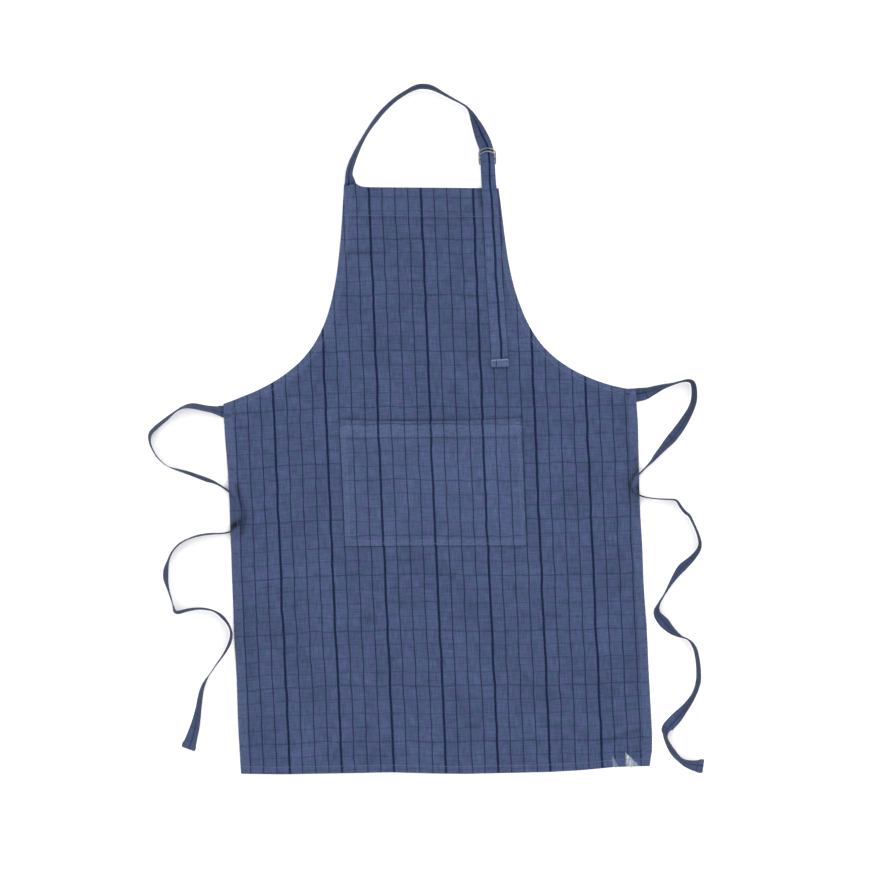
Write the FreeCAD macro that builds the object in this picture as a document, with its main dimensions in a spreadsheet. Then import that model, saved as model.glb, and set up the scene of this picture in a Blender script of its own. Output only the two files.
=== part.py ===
"""Bib apron lying flat, face up: +X to its right, +Y towards the neck, +Z out of the cloth (mm)."""
import FreeCAD, Part
import math
import os

Vector = FreeCAD.Vector
UP = Vector(0, 0, 1)

doc = FreeCAD.newDocument("bib_apron")
dims = doc.addObject("Spreadsheet::Sheet", "dims")

DRIVING = {
    # cut of the body
    "apron_half": 300, "apron_length": 847, "bottom_level": -498,
    "bib_half": 113, "bib_height": 302.5, "waist_half": 302,
    # the armhole curve: half width and height above the waist corner, from the bib down
    "curve_one_half": 118, "curve_one_rise": 255, "curve_two_half": 137, "curve_two_rise": 141,
    "curve_three_half": 174, "curve_three_rise": 67, "curve_four_half": 232, "curve_four_rise": 23,
    # cloth and hems
    "cloth": 0.8, "fold": 0.9, "top_hem_depth": 42, "side_hem_depth": 13, "bottom_hem_depth": 12,
    "facing_depth": 10, "thread_wide": 0.6, "thread_high": 0.3, "stitch_inset": 1.2,
    # pocket
    "pocket_half": 132, "pocket_top": 11, "pocket_depth": 183, "pocket_flange": 9,
    "pocket_slope": 25, "pocket_room": 6, "mouth_hem_depth": 19, "tack_long": 9, "tack_wide": 1.6,
    # strap, its tab and the two rings
    "strap_wide": 23.5, "strap_thick": 0.9, "strap_centre": 100, "strap_stand": 20,
    "buckle_level": 387, "ring_pitch": 7, "ring_wire": 1.9, "ring_inner": 24.4, "ring_depth": 17.2,
    "ring_tilt": 23, "ring_corner": 1.5, "ring_shoulder": 5, "ring_crown": 18, "running_gap": 0.3,
    "tail_top": 404, "tail_end": 84, "tail_hem": 12, "root_depth": 40, "root_out": 7,
    "loop_end_gap": 2.3, "loop_straight": 14,
    # waist ties
    "tie_wide": 21, "tie_stand": 20, "tie_thick": 1.2, "tie_level": 36, "tie_root": 22,
}
for row, (alias, value) in enumerate(DRIVING.items(), 1):
    dims.set(f"A{row}", alias)
    dims.set(f"B{row}", str(value))
    dims.setAlias(f"B{row}", alias)
doc.recompute()


def size(alias):
    return float(dims.get(alias))


PANEL_LOW = size("fold")
PANEL_HIGH = size("fold") + size("cloth")
WAIST_LEVEL = size("bottom_level") + size("apron_length") - size("bib_height")
BIB_LEVEL = size("bottom_level") + size("apron_length")
BAR_LEVEL = size("strap_thick") + size("running_gap") + size("ring_wire") / 2
TAB_HIGH = BAR_LEVEL + size("ring_wire") / 2 + size("running_gap")
TAIL_LOW = TAB_HIGH + size("strap_thick") + size("running_gap")

# Routes of the loose straps on the floor: chosen points at their middles, (x, y).
NECK_ROUTE = [(-104, 350), (-104, 371), (-89, 411), (-64, 449), (-33, 481), (8, 501.7), (43, 484),
              (73, 467), (83, 443)]
LEFT_TIE_ROUTE = [(-302.5, 36), (-322, 43), (-343, 49), (-364, 46), (-382, 28), (-404, 16),
                  (-413, -3), (-402, -24), (-386, -43), (-361, -47), (-338, -59), (-316, -65),
                  (-306, -84), (-304, -108), (-307, -134), (-326, -139), (-350, -143),
                  (-374, -152), (-389, -172), (-399, -199), (-389, -224), (-384, -252),
                  (-364, -249), (-340, -248), (-318, -257), (-304.5, -280), (-306, -306),
                  (-324, -328), (-343, -349), (-351, -376), (-358, -404), (-366, -430),
                  (-374, -452)]
RIGHT_TIE_ROUTE = [(302.5, 35), (322, 38), (343, 45), (364, 50), (386, 54), (387, 30), (378, 7),
                   (363, -15), (347, -36), (328, -54), (311, -71), (304, -92), (308, -114),
                   (328, -118), (352, -120), (364, -140), (376, -155), (384, -181), (376, -203),
                   (357, -218), (338, -241), (318, -266), (316, -288), (334, -309), (356, -320),
                   (371, -335), (374, -362), (370, -394), (354, -423), (325, -445), (321, -467),
                   (336, -494), (356, -508), (377, -509)]


# ---- shared makers -------------------------------------------------------------------------

def add_box(label, sizes, corner):
    """A box whose three sizes and low corner are expressions of the sheet."""
    box = doc.addObject("Part::Box", label)
    for prop, expression in zip(("Length", "Width", "Height"), sizes):
        box.setExpression(prop, expression)
    for axis, expression in zip("xyz", corner):
        box.setExpression(f"Placement.Base.{axis}", expression)
    return box


def add_pad(label, edges, thickness, level):
    """A flat piece of cloth: a closed sketch in the floor plane, padded up to its thickness."""
    body = doc.addObject("PartDesign::Body", label)
    sketch = body.newObject("Sketcher::SketchObject", label + "_outline")
    floor = [f for f in body.Origin.OriginFeatures if f.Role == "XY_Plane"][0]
    sketch.AttachmentSupport = [(floor, "")]
    sketch.MapMode = "FlatFace"
    for edge in edges:
        sketch.addGeometry(edge, False)
    pad = body.newObject("PartDesign::Pad", label + "_pad")
    pad.Profile = sketch
    pad.setExpression("Length", thickness)
    body.setExpression("Placement.Base.z", level)
    return body


def add_feature(label, shape, place=Vector(0, 0, 0), tilt=0):
    """A piece whose shape is made here; it is tilted about X, then moved to its place."""
    piece = doc.addObject("Part::Feature", label)
    piece.Shape = shape
    piece.Placement = FreeCAD.Placement(place, FreeCAD.Rotation(Vector(1, 0, 0), tilt))
    return piece


def add_union(label, pieces):
    union = doc.addObject("Part::MultiFuse", label)
    union.Shapes = pieces
    return union


def segments(points):
    return [Part.LineSegment(Vector(*a, 0), Vector(*b, 0)) for a, b in zip(points, points[1:])]


def curve_through(points):
    curve = Part.BSplineCurve()
    curve.interpolate([Vector(x, y, 0) for x, y in points])
    return curve


def round_route(points, share=0.45):
    """Straight runs joined by tangent arcs: a list of ("run", a, b) and ("arc", a, b, centre)."""
    flat = [Vector(x, y, 0) for x, y in points]
    pieces, start, radii = [], flat[0], []
    for before, corner, after in zip(flat, flat[1:], flat[2:]):
        into, out = (corner - before), (after - corner)
        reach = share * min(into.Length, out.Length)
        turn = into.getAngle(out)
        radius = reach / math.tan(turn / 2)
        radii.append(radius)
        into.normalize()
        out.normalize()
        first, last = corner - into * reach, corner + out * reach
        side = into.cross(out).z
        centre = first + UP.cross(into) * math.copysign(radius, side)
        pieces += [("run", start, first), ("arc", first, last, centre)]
        start = last
    pieces.append(("run", start, flat[-1]))
    return pieces, radii


def offset_side(pieces, shift):
    """The same runs and arcs moved sideways by shift, to the left of travel where positive."""
    edges = []
    for piece in pieces:
        first, last = piece[1], piece[2]
        if piece[0] == "run":
            left = UP.cross(last - first).normalize() * shift
            edges.append(Part.LineSegment(first + left, last + left))
            continue
        centre = piece[3]
        middle = ((first + last) * 0.5 - centre).normalize()
        radius = (first - centre).Length
        turn = (first - centre).cross(last - centre).z
        grown = radius - shift * math.copysign(1, turn)
        ends = [centre + (p - centre).normalize() * grown for p in (first, last)]
        edges.append(Part.Arc(ends[0], centre + middle * grown, ends[1]))
    return edges


def standing_ribbon(name, points, thickness, height):
    """A strip standing on its edge along a route, checked against section times length."""
    pieces, radii = round_route(points)
    left = [e.toShape() for e in offset_side(pieces, thickness / 2)]
    right = [e.toShape() for e in offset_side(pieces, -thickness / 2)]
    ends = [Part.makeLine(left[0].Vertexes[0].Point, right[0].Vertexes[0].Point),
            Part.makeLine(left[-1].Vertexes[-1].Point, right[-1].Vertexes[-1].Point)]
    ordered = Part.__sortEdges__(left + right + ends)
    solid = Part.Face(Part.Wire(ordered)).extrude(Vector(0, 0, height))
    middle = Part.Wire([e.toShape() for e in offset_side(pieces, 0)])
    share = solid.Volume / (thickness * height * middle.Length)
    print(f"{name}: length {middle.Length:.0f} mm, volume share {share:.4f}, radii",
          " ".join(f"{r:.0f}" for r in radii))
    return solid


# ---- body of the apron ---------------------------------------------------------------------

def armhole_points(side):
    points = [(size("bib_half"), BIB_LEVEL)]
    for step in ("one", "two", "three", "four"):
        points.append((size(f"curve_{step}_half"), WAIST_LEVEL + size(f"curve_{step}_rise")))
    points.append((size("waist_half"), WAIST_LEVEL))
    return [(side * x, y) for x, y in points]


def moved_in(points, distance):
    """Points of the armhole curve moved square to it, into the cloth."""
    curve = curve_through(points)
    side = math.copysign(1, points[0][0])
    inner = []
    for x, y in points:
        along = curve.tangent(curve.parameter(Vector(x, y, 0)))[0]
        square = UP.cross(along) * -side
        inner.append((x + square.x * distance, y + square.y * distance))
    return inner


def make_panel():
    left, right = armhole_points(-1), armhole_points(1)
    low_left = (-size("apron_half"), size("bottom_level"))
    low_right = (size("apron_half"), size("bottom_level"))
    edges = segments([left[0], right[0]]) + [curve_through(right)]
    edges += segments([right[-1], low_right, low_left, left[-1]]) + [curve_through(left)]
    return add_pad("main_panel", edges, "dims.cloth", "dims.fold")


def make_top_hem():
    """The wide turned hem of the bib, stepped at each corner for the strap and the tab."""
    low = BIB_LEVEL - size("top_hem_depth")
    inner = size("strap_centre") - size("strap_wide") / 2 - size("running_gap")
    reach = BIB_LEVEL - size("root_depth") - size("running_gap")
    half = size("bib_half")
    right = [(inner, BIB_LEVEL), (inner, reach), (half, reach), (half + 2, low)]
    left = [(-x, y) for x, y in reversed(right)]
    return add_pad("top_hem", segments(left + right + left[:1]), "dims.fold", "0")


def make_facing(name, side):
    """The narrow strip under an armhole edge, from the bib hem to the sewn end of the tie."""
    outer = armhole_points(side)
    inner = moved_in(outer, size("facing_depth"))
    edges = [curve_through(outer).toShape(), curve_through(inner).toShape(),
             Part.makeLine(Vector(*outer[0], 0), Vector(*inner[0], 0)),
             Part.makeLine(Vector(*outer[-1], 0), Vector(*inner[-1], 0))]
    strip = Part.Face(Part.Wire(Part.__sortEdges__(edges))).extrude(Vector(0, 0, size("fold")))
    high = BIB_LEVEL - size("top_hem_depth") - size("running_gap")
    wide = size("waist_half") - size("tie_root") - 2 * size("running_gap")
    window = Part.makeBox(2 * wide, high, size("fold"), Vector(-wide, 0, 0))
    return add_feature(name, strip.common(window))


def make_side_hem(name, side):
    low = "dims.bottom_level + dims.bottom_hem_depth + dims.running_gap"
    high = "dims.tie_level - dims.tie_wide / 2 - dims.running_gap"
    inner = "-dims.apron_half" if side < 0 else "dims.apron_half - dims.side_hem_depth"
    return add_box(name, ("dims.side_hem_depth", f"({high}) - ({low})", "dims.fold"),
                   (inner, low, "0"))


def make_bottom_hem():
    return add_box("bottom_hem", ("dims.apron_half * 2", "dims.bottom_hem_depth", "dims.fold"),
                   ("-dims.apron_half", "dims.bottom_level", "0"))


# ---- pocket --------------------------------------------------------------------------------

def add_swell(label, inset, shrink, rise):
    """The raised middle of the pocket: a wedge open at the mouth, wide at its foot."""
    swell = doc.addObject("Part::Wedge", label)
    foot = f"dims.pocket_half - dims.pocket_flange - {inset}"
    crest = f"{foot} - dims.pocket_slope"
    depth = f"dims.pocket_depth - dims.pocket_flange - {inset}"
    limits = {"Xmin": f"-({foot})", "Xmax": foot, "X2min": f"-({crest})", "X2max": crest,
              "Ymin": "0", "Ymax": rise, "Zmin": f"-({shrink})", "Zmax": depth,
              "Z2min": f"-({shrink})", "Z2max": f"{depth} - dims.pocket_slope"}
    for prop, expression in limits.items():
        swell.setExpression(prop, expression)
    # the wedge grows along its own Y, so it is stood up with Y as height and Z towards the hem
    swell.Placement = FreeCAD.Placement(Vector(0, 0, 0), FreeCAD.Rotation(Vector(1, 0, 0), 90))
    swell.setExpression("Placement.Base.y", "dims.pocket_top")
    swell.setExpression("Placement.Base.z", "dims.fold + dims.cloth")
    return swell


def make_pocket():
    flange = add_box("pocket_flat", ("dims.pocket_half * 2", "dims.pocket_depth", "dims.cloth"),
                     ("-dims.pocket_half", "dims.pocket_top - dims.pocket_depth",
                      "dims.fold + dims.cloth"))
    outside = add_swell("pocket_outside", "0", "0", "dims.pocket_room + dims.cloth")
    inside = add_swell("pocket_inside", "dims.cloth", "1", "dims.pocket_room")
    cut = doc.addObject("Part::Cut", "pocket_panel")
    cut.Base = add_union("pocket_solid", [flange, outside])
    cut.Tool = inside
    return cut


def make_mouth_hem():
    """The pocket's top edge is turned to the inside; it lies under the raised middle."""
    half = "(dims.pocket_half - dims.pocket_flange - dims.pocket_slope - 2 * dims.cloth)"
    return add_box("pocket_mouth_hem", (f"{half} * 2", "dims.mouth_hem_depth", "dims.cloth"),
                   (f"-{half}", "dims.pocket_top - dims.mouth_hem_depth",
                    "dims.fold + dims.pocket_room"))


# ---- neck strap, tab and rings -------------------------------------------------------------

def plate(points, low, thick):
    outline = Part.makePolygon([Vector(x, y, low) for x, y in points + points[:1]])
    return Part.Face(outline).extrude(Vector(0, 0, thick))


def make_neck_loop():
    """The strap's fixed stretch: sewn end, the loop on its edge, and the flat run to the rings."""
    thick, half = size("strap_thick"), size("strap_wide") / 2
    low = BIB_LEVEL - size("root_depth")
    left, right = -size("strap_centre") - half, -size("strap_centre") + half
    out = BIB_LEVEL + size("root_out")
    root = plate([(left, low), (right, low), (right, out), (left, out)], 0, thick)
    arch = standing_ribbon("neck_loop", NECK_ROUTE, size("tie_thick"), size("strap_stand"))
    foot = size("buckle_level") + size("ring_pitch") - size("loop_end_gap")
    knee = foot + size("loop_straight")
    centre = size("strap_centre")
    end = Vector(*NECK_ROUTE[-1], 0)
    lean = (end - Vector(centre, knee, 0)).normalize()
    square = UP.cross(lean) * half
    tips = [end + lean * 3 - square, end + lean * 3 + square]
    run = plate([(centre - half, foot), (centre + half, foot), (centre + half, knee)]
                + [(p.x, p.y) for p in tips] + [(centre - half, knee)], TAB_HIGH, thick)
    return add_feature("neck_loop", root.fuse([arch, run]).removeSplitter())


def make_tail():
    """The strap's loose end, past the rings, with its end turned under."""
    wide = "dims.strap_wide"
    left = "dims.strap_centre - dims.strap_wide / 2"
    low = f"{TAIL_LOW}"
    strip = add_box("tail_strip", (wide, "dims.tail_top - dims.tail_end", "dims.strap_thick"),
                    (left, "dims.tail_end", low))
    turned = add_box("tail_turned_end", (wide, "dims.tail_hem", "dims.strap_thick"),
                     (left, "dims.tail_end", f"{low} - dims.strap_thick"))
    return add_union("strap_tail", [strip, turned])


def make_ring_tab():
    """A short strip folded round both rings; its two ends are sewn under the bib's corner."""
    thick, bar = size("strap_thick"), size("buckle_level")
    merge = BIB_LEVEL + 4
    slope = bar - 2 * size("ring_pitch")
    bend = BAR_LEVEL - thick
    tip = bar + bend + thick
    outer = [Part.makeLine(Vector(0, BIB_LEVEL - size("root_depth"), 0), Vector(0, bar, 0)),
             Part.Arc(Vector(0, bar, 0), Vector(0, tip, BAR_LEVEL),
                      Vector(0, bar, 2 * BAR_LEVEL)).toShape(),
             Part.makePolygon([Vector(0, bar, 2 * BAR_LEVEL), Vector(0, slope, 2 * BAR_LEVEL),
                               Vector(0, merge, 2 * thick), Vector(0, merge - 2, 2 * thick),
                               Vector(0, merge - 2, thick),
                               Vector(0, BIB_LEVEL - size("root_depth"), thick),
                               Vector(0, BIB_LEVEL - size("root_depth"), 0)])]
    inner = [Part.makeLine(Vector(0, merge + 6, thick), Vector(0, bar, thick)),
             Part.Arc(Vector(0, bar, thick), Vector(0, bar + bend, BAR_LEVEL),
                      Vector(0, bar, 2 * BAR_LEVEL - thick)).toShape(),
             Part.makePolygon([Vector(0, bar, 2 * BAR_LEVEL - thick),
                               Vector(0, slope, 2 * BAR_LEVEL - thick),
                               Vector(0, merge + 6, thick)])]
    outside = Part.Wire([e for piece in outer for e in piece.Edges])
    inside = Part.Wire([e for piece in inner for e in piece.Edges])
    across = Vector(size("strap_wide"), 0, 0)
    solid = Part.Face(outside).extrude(across).cut(Part.Face(inside).extrude(across))
    return add_feature("ring_tab", solid, Vector(size("strap_centre") - size("strap_wide") / 2, 0, 0))


def ring_spine():
    """Middle line of a D ring in its own plane, with the straight bar on the X axis."""
    half = (size("ring_inner") + size("ring_wire")) / 2
    depth, corner = size("ring_depth"), size("ring_corner")
    shoulder, crown = size("ring_shoulder"), size("ring_crown")
    crown_y = depth - crown
    shoulder_x = half - shoulder
    shoulder_y = crown_y + math.sqrt((crown - shoulder) ** 2 - shoulder_x ** 2)
    meet = math.atan2(shoulder_y - crown_y, shoulder_x)

    def on(x, y, radius, angle):
        return Vector(x + radius * math.cos(angle), y + radius * math.sin(angle), 0)

    low = math.pi * 7 / 4
    right = [Part.Arc(on(half - corner, corner, corner, 1.5 * math.pi),
                      on(half - corner, corner, corner, low), on(half - corner, corner, corner, 0)),
             Part.LineSegment(Vector(half, corner, 0), Vector(half, shoulder_y, 0)),
             Part.Arc(on(shoulder_x, shoulder_y, shoulder, 0),
                      on(shoulder_x, shoulder_y, shoulder, meet / 2),
                      on(shoulder_x, shoulder_y, shoulder, meet))]
    edges = [e.toShape() for e in right]
    edges += [e.mirror(Vector(0, 0, 0), Vector(1, 0, 0)) for e in edges]
    edges.append(Part.Arc(on(0, crown_y, crown, meet), Vector(0, depth, 0),
                          on(0, crown_y, crown, math.pi - meet)).toShape())
    edges.append(Part.makeLine(Vector(corner - half, 0, 0), Vector(half - corner, 0, 0)))
    return Part.Wire(Part.__sortEdges__(edges))


def make_ring(name, setback):
    """A wire D ring lying back on the strap, its straight bar inside the tab's fold."""
    spine = ring_spine()
    side = Part.Circle(Vector(0, 0, 0), Vector(1, 0, 0), size("ring_wire") / 2).toShape()
    solid = spine.makePipeShell([Part.Wire(side)], True, True)
    share = solid.Volume / (math.pi * size("ring_wire") ** 2 / 4 * spine.Length)
    print(f"{name}: spine {spine.Length:.1f} mm, volume share {share:.4f}")
    place = Vector(size("strap_centre"), size("buckle_level") - setback, BAR_LEVEL)
    return add_feature(name, solid, place, size("ring_tilt"))


# ---- waist ties ----------------------------------------------------------------------------

def make_tie(name, route, side):
    """One waist tie: its sewn end lies under the panel's edge, the rest stands loose."""
    ribbon = standing_ribbon(name, route, size("tie_thick"), size("tie_stand"))
    half, level = size("tie_wide") / 2, size("tie_level")
    inner = side * (size("waist_half") - size("tie_root"))
    outer = side * (size("waist_half") + 2)
    corners = [(inner, level - half), (outer, level - half), (outer, level + half),
               (inner, level + half)]
    root = plate(corners, 0, size("fold"))
    return add_feature(name, ribbon.fuse(root).removeSplitter())


# ---- stitching -----------------------------------------------------------------------------

def thread_run(label, start, end, level):
    """One straight row of stitches: a low bar of thread lying on the cloth."""
    wide, high = size("thread_wide"), size("thread_high")
    a, b = Vector(*start, level), Vector(*end, level)
    along = (b - a).normalize()
    square = UP.cross(along) * (wide / 2)
    corners = [a - square, b - square, b + square, a + square]
    return Part.Face(Part.makePolygon(corners + corners[:1])).extrude(Vector(0, 0, high))


def add_threads(name, rows, level):
    """Rows of stitches as one node; rows that cross or meet become one solid."""
    solids = [thread_run(name, a, b, level) for a, b in rows]
    shape = solids[0].fuse(solids[1:]) if len(solids) > 1 else solids[0]
    return add_feature(name, shape)


def box_rows(low, high):
    """The four sides of a stitched rectangle and its two diagonals."""
    (x1, y1), (x2, y2) = low, high
    corners = [(x1, y1), (x2, y1), (x2, y2), (x1, y2)]
    return list(zip(corners, corners[1:] + corners[:1])) + [(corners[0], corners[2]),
                                                            (corners[1], corners[3])]


def make_armhole_thread(name, side):
    """The row of stitches that holds the facing, a constant way in from the armhole edge."""
    inset = size("facing_depth") - size("stitch_inset")
    outer = moved_in(armhole_points(side), inset - size("thread_wide") / 2)
    inner = moved_in(armhole_points(side), inset + size("thread_wide") / 2)
    edges = [curve_through(outer).toShape(), curve_through(inner).toShape(),
             Part.makeLine(Vector(*outer[0], 0), Vector(*inner[0], 0)),
             Part.makeLine(Vector(*outer[-1], 0), Vector(*inner[-1], 0))]
    strip = Part.Face(Part.Wire(Part.__sortEdges__(edges))).extrude(
        Vector(0, 0, size("thread_high")))
    high = BIB_LEVEL - size("top_hem_depth")
    wide = size("waist_half") - size("tie_root")
    strip = strip.common(Part.makeBox(2 * wide, high, size("thread_high"), Vector(-wide, 0, 0)))
    return add_feature(name, strip, Vector(0, 0, PANEL_HIGH))


def make_stitching():
    inset, half, low = size("stitch_inset"), size("apron_half"), size("bottom_level")
    top = BIB_LEVEL - size("top_hem_depth") + inset
    bib = size("bib_half")
    side_x = half - size("side_hem_depth") + inset
    bottom = low + size("bottom_hem_depth") - inset
    tie_low = size("tie_level") - size("tie_wide") / 2
    tie_high = size("tie_level") + size("tie_wide") / 2
    nodes = [add_threads("top_hem_stitching", [((-bib, top), (bib, top))], PANEL_HIGH),
             add_threads("bottom_hem_stitching", [((-half, bottom), (half, bottom))], PANEL_HIGH)]
    for word, side in (("left", -1), ("right", 1)):
        nodes.append(make_armhole_thread(f"armhole_stitching_{word}", side))
        rows = [((side * side_x, bottom + 1), (side * side_x, tie_low - 1))]
        nodes.append(add_threads(f"side_stitching_{word}", rows, PANEL_HIGH))
        reach = sorted((side * (size("waist_half") - 5),
                        side * (size("waist_half") - size("tie_root") + 2)))
        rows = box_rows((reach[0], tie_low + 2), (reach[1], tie_high - 5))
        nodes.append(add_threads(f"tie_stitching_{word}", rows, PANEL_HIGH))
    for name, centre in (("strap_root_stitching", -size("strap_centre")),
                         ("ring_tab_stitching", size("strap_centre"))):
        reach = size("strap_wide") / 2 - 3
        rows = box_rows((centre - reach, BIB_LEVEL - size("root_depth") + 5),
                        (centre + reach, BIB_LEVEL - 4))
        nodes.append(add_threads(name, rows, PANEL_HIGH))
    return nodes + make_pocket_stitching() + make_tail_stitching()


def make_pocket_stitching():
    half, top = size("pocket_half"), size("pocket_top")
    low, inset = top - size("pocket_depth"), 3 * size("stitch_inset")
    corners = [(-half + inset, top - 1), (-half + inset, low + inset), (half - inset, low + inset),
               (half - inset, top - 1)]
    level = PANEL_HIGH + size("cloth")
    mouth = top - size("mouth_hem_depth") + size("stitch_inset")
    crest = half - size("pocket_flange") - size("pocket_slope") - 2
    nodes = [add_threads("pocket_stitching", list(zip(corners, corners[1:])), level),
             add_threads("pocket_mouth_stitching", [((-crest, mouth), (crest, mouth))],
                         PANEL_HIGH + size("pocket_room") + size("cloth"))]
    tack = size("tack_wide")
    for word, side in (("left", -1), ("right", 1)):
        low_corner = Vector(side * (half - 1 - tack / 2) - tack / 2, top - 1 - size("tack_long"), level)
        bar = Part.makeBox(tack, size("tack_long"), 2 * size("thread_high"), low_corner)
        nodes.append(add_feature(f"pocket_bar_tack_{word}", bar))
    return nodes


def make_tail_stitching():
    centre, half = size("strap_centre"), size("strap_wide") / 2 - 1
    level = size("tail_end") + size("tail_hem") - size("stitch_inset")
    rows = [((centre - half, level), (centre + half, level))]
    return [add_threads("tail_end_stitching", rows, TAIL_LOW + size("strap_thick"))]


def main():
    nodes = [make_panel(), make_top_hem(), make_bottom_hem(), make_pocket(), make_mouth_hem(),
             make_neck_loop(), make_tail(), make_ring_tab(), make_ring("ring_front", 0),
             make_ring("ring_back", size("ring_pitch"))]
    for word, side in (("left", -1), ("right", 1)):
        nodes.append(make_facing(f"armhole_facing_{word}", side))
        nodes.append(make_side_hem(f"side_hem_{word}", side))
    nodes.append(make_tie("tie_left", LEFT_TIE_ROUTE, -1))
    nodes.append(make_tie("tie_right", RIGHT_TIE_ROUTE, 1))
    nodes += make_stitching()
    doc.recompute()

    failed = [o.Name for o in doc.Objects if "Invalid" in o.State or "Error" in o.State]
    failed += [n.Name for n in nodes if n.Shape.isNull() or not n.Shape.isValid()]
    if failed:
        raise RuntimeError("these failed: " + ", ".join(failed))
    os.makedirs("parts", exist_ok=True)
    for node in nodes:
        node.Shape.exportStep(f"parts/{node.Label}.step")
    whole = Part.makeCompound([n.Shape for n in nodes]).BoundBox
    held = Part.makeCompound([n.Shape for n in nodes if not n.Label.startswith("tie_")]).BoundBox
    print(len(nodes), "nodes; whole", whole)
    print("without ties", held)


main()
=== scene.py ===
"""Looks of a checked bib apron laid flat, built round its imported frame. Metres, row frame:
+X to the apron's right, +Y towards the neck, +Z out of the cloth."""

import math

import bpy
import numpy as np
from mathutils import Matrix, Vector


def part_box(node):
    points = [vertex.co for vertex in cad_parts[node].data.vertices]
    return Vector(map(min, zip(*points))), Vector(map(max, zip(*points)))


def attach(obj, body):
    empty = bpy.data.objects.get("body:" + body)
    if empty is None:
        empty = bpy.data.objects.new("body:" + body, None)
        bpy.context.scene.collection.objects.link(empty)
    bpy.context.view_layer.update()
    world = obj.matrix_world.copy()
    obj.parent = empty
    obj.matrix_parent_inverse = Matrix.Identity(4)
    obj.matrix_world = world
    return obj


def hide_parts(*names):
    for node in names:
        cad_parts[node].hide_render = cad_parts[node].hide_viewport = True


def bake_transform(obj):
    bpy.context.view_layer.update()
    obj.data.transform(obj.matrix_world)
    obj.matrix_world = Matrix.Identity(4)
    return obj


MM = 0.001
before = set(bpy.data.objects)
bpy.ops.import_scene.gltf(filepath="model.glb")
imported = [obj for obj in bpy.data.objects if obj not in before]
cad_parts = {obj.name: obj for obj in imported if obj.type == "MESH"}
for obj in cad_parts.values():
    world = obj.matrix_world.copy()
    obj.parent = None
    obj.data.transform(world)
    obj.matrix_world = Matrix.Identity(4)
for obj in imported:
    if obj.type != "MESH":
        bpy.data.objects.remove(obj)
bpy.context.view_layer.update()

# ---- places read from the frame

PANEL_LOW, PANEL_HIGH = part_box("main_panel")
POCKET_LOW, POCKET_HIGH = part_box("pocket_panel")
TAB_LOW, TAB_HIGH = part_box("ring_tab")
TOP_HEM_DEPTH, BOTTOM_HEM_DEPTH, MOUTH_HEM_DEPTH = (
    high.y - low.y for low, high in map(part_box, ("top_hem", "bottom_hem", "pocket_mouth_hem")))
SIDE_HEM_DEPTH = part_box("side_hem_right")[1].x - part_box("side_hem_right")[0].x
FACING_DEPTH = 10 * MM
STRAP_X = (TAB_LOW.x + TAB_HIGH.x) / 2
STRAP_WIDE = 23.5 * MM
TAB_WIDE = 20.6 * MM
TIE_WIDE = 21 * MM
TIE_LEVEL = 36 * MM
TIE_LIFT = 10.5 * MM
BAR_Y = 387 * MM                     # the front ring's straight bar, inside the tab's fold
RING_SHARE = 0.91                    # the rings as they look, beside their wider solids
RING_X = STRAP_X - 1.2 * MM
SIDES = (("left", -1), ("right", 1))

# ---- cloth and how it lies

CLOTH = 0.7 * MM
HEM_THICK = 1.0 * MM
FLOOR_GAP = 0.25 * MM
ROLL = 0.9 * MM                      # radius of a hem's folded edge
STRAP_THICK = 1.4 * MM
STITCH_LONG, STITCH_GAP, STITCH_FAT = 2.9 * MM, 0.8 * MM, 0.24 * MM


def in_metres(points):
    return [(p[0] * MM, p[1] * MM) for p in points]


# The cloth was put down a little skewed: how far its cross threads fall to the right.
SKEW_LEVELS = [-0.498, -0.350, -0.200, 0.046, 0.120, 0.250, 0.349]
SKEW_SLOPES = [0.0235, 0.028, 0.025, 0.014, 0.035, 0.050, 0.050]
# How far its left and right edges lie to the right of their drawn place, in mm.
SHIFT_LEVELS = [-0.498, -0.476, -0.450, -0.320, -0.200, -0.100, 0.0, 0.046, 0.120, 0.200, 0.349]
SHIFT_LEFT = [2.2, 2.0, 1.8, 2.2, 2.4, 4.0, 2.0, 1.5, 1.8, 0.9, 1.6]
SHIFT_RIGHT = [-2.8, 1.2, 2.4, 0.6, -1.6, -2.0, -0.6, -1.8, -2.4, -2.4, 0.2]
# The bottom edge hangs lower towards its middle, in mm.
BOW_PLACES = [-0.300, -0.240, -0.080, -0.010, 0.030, 0.150, 0.200, 0.250, 0.300]
BOW_DEPTHS = [0.5, 2.6, 2.6, 5.8, 6.9, 6.6, 4.8, 1.0, 0.4]
# How far the woven cross lines rise from their straight course, in mm: above and at the skirt.
DRIFT_PLACES = [-0.300, -0.245, -0.180, -0.056, -0.010, 0.047, 0.180, 0.300]
DRIFT_HIGH = [2.2, 3.0, 5.0, 3.2, 0.8, -2.8, -8.0, -10.0]
DRIFT_LOW = [7.5, 7.5, 8.0, 4.0, 1.0, 0.0, -4.8, -5.2]

# Creases, in mm: start, end, half width, height (negative for a valley).
CREASES = [((225, -492), (292, -462), 6, 2.6), ((214, -484), (285, -452), 7, -1.4),
           ((-104, 266), (-40, 262), 5, 0.9), ((-98, 256), (-52, 254), 4, -0.6),
           ((-75, 287), (10, 284), 6, 0.6), ((255, 52), (288, 40), 5, -0.9)]

# Where a waist tie runs under the panel's edge and lifts it.
LEFT_UNDER = in_metres([(-306, -73), (-298, -80), (-286, -93), (-279, -110), (-285, -128),
                        (-297, -138), (-306, -140)])
RIGHT_UNDER = in_metres([(306, -75), (298, -83), (290, -94), (293, -106), (301, -112),
                         (307, -114)])
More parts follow.
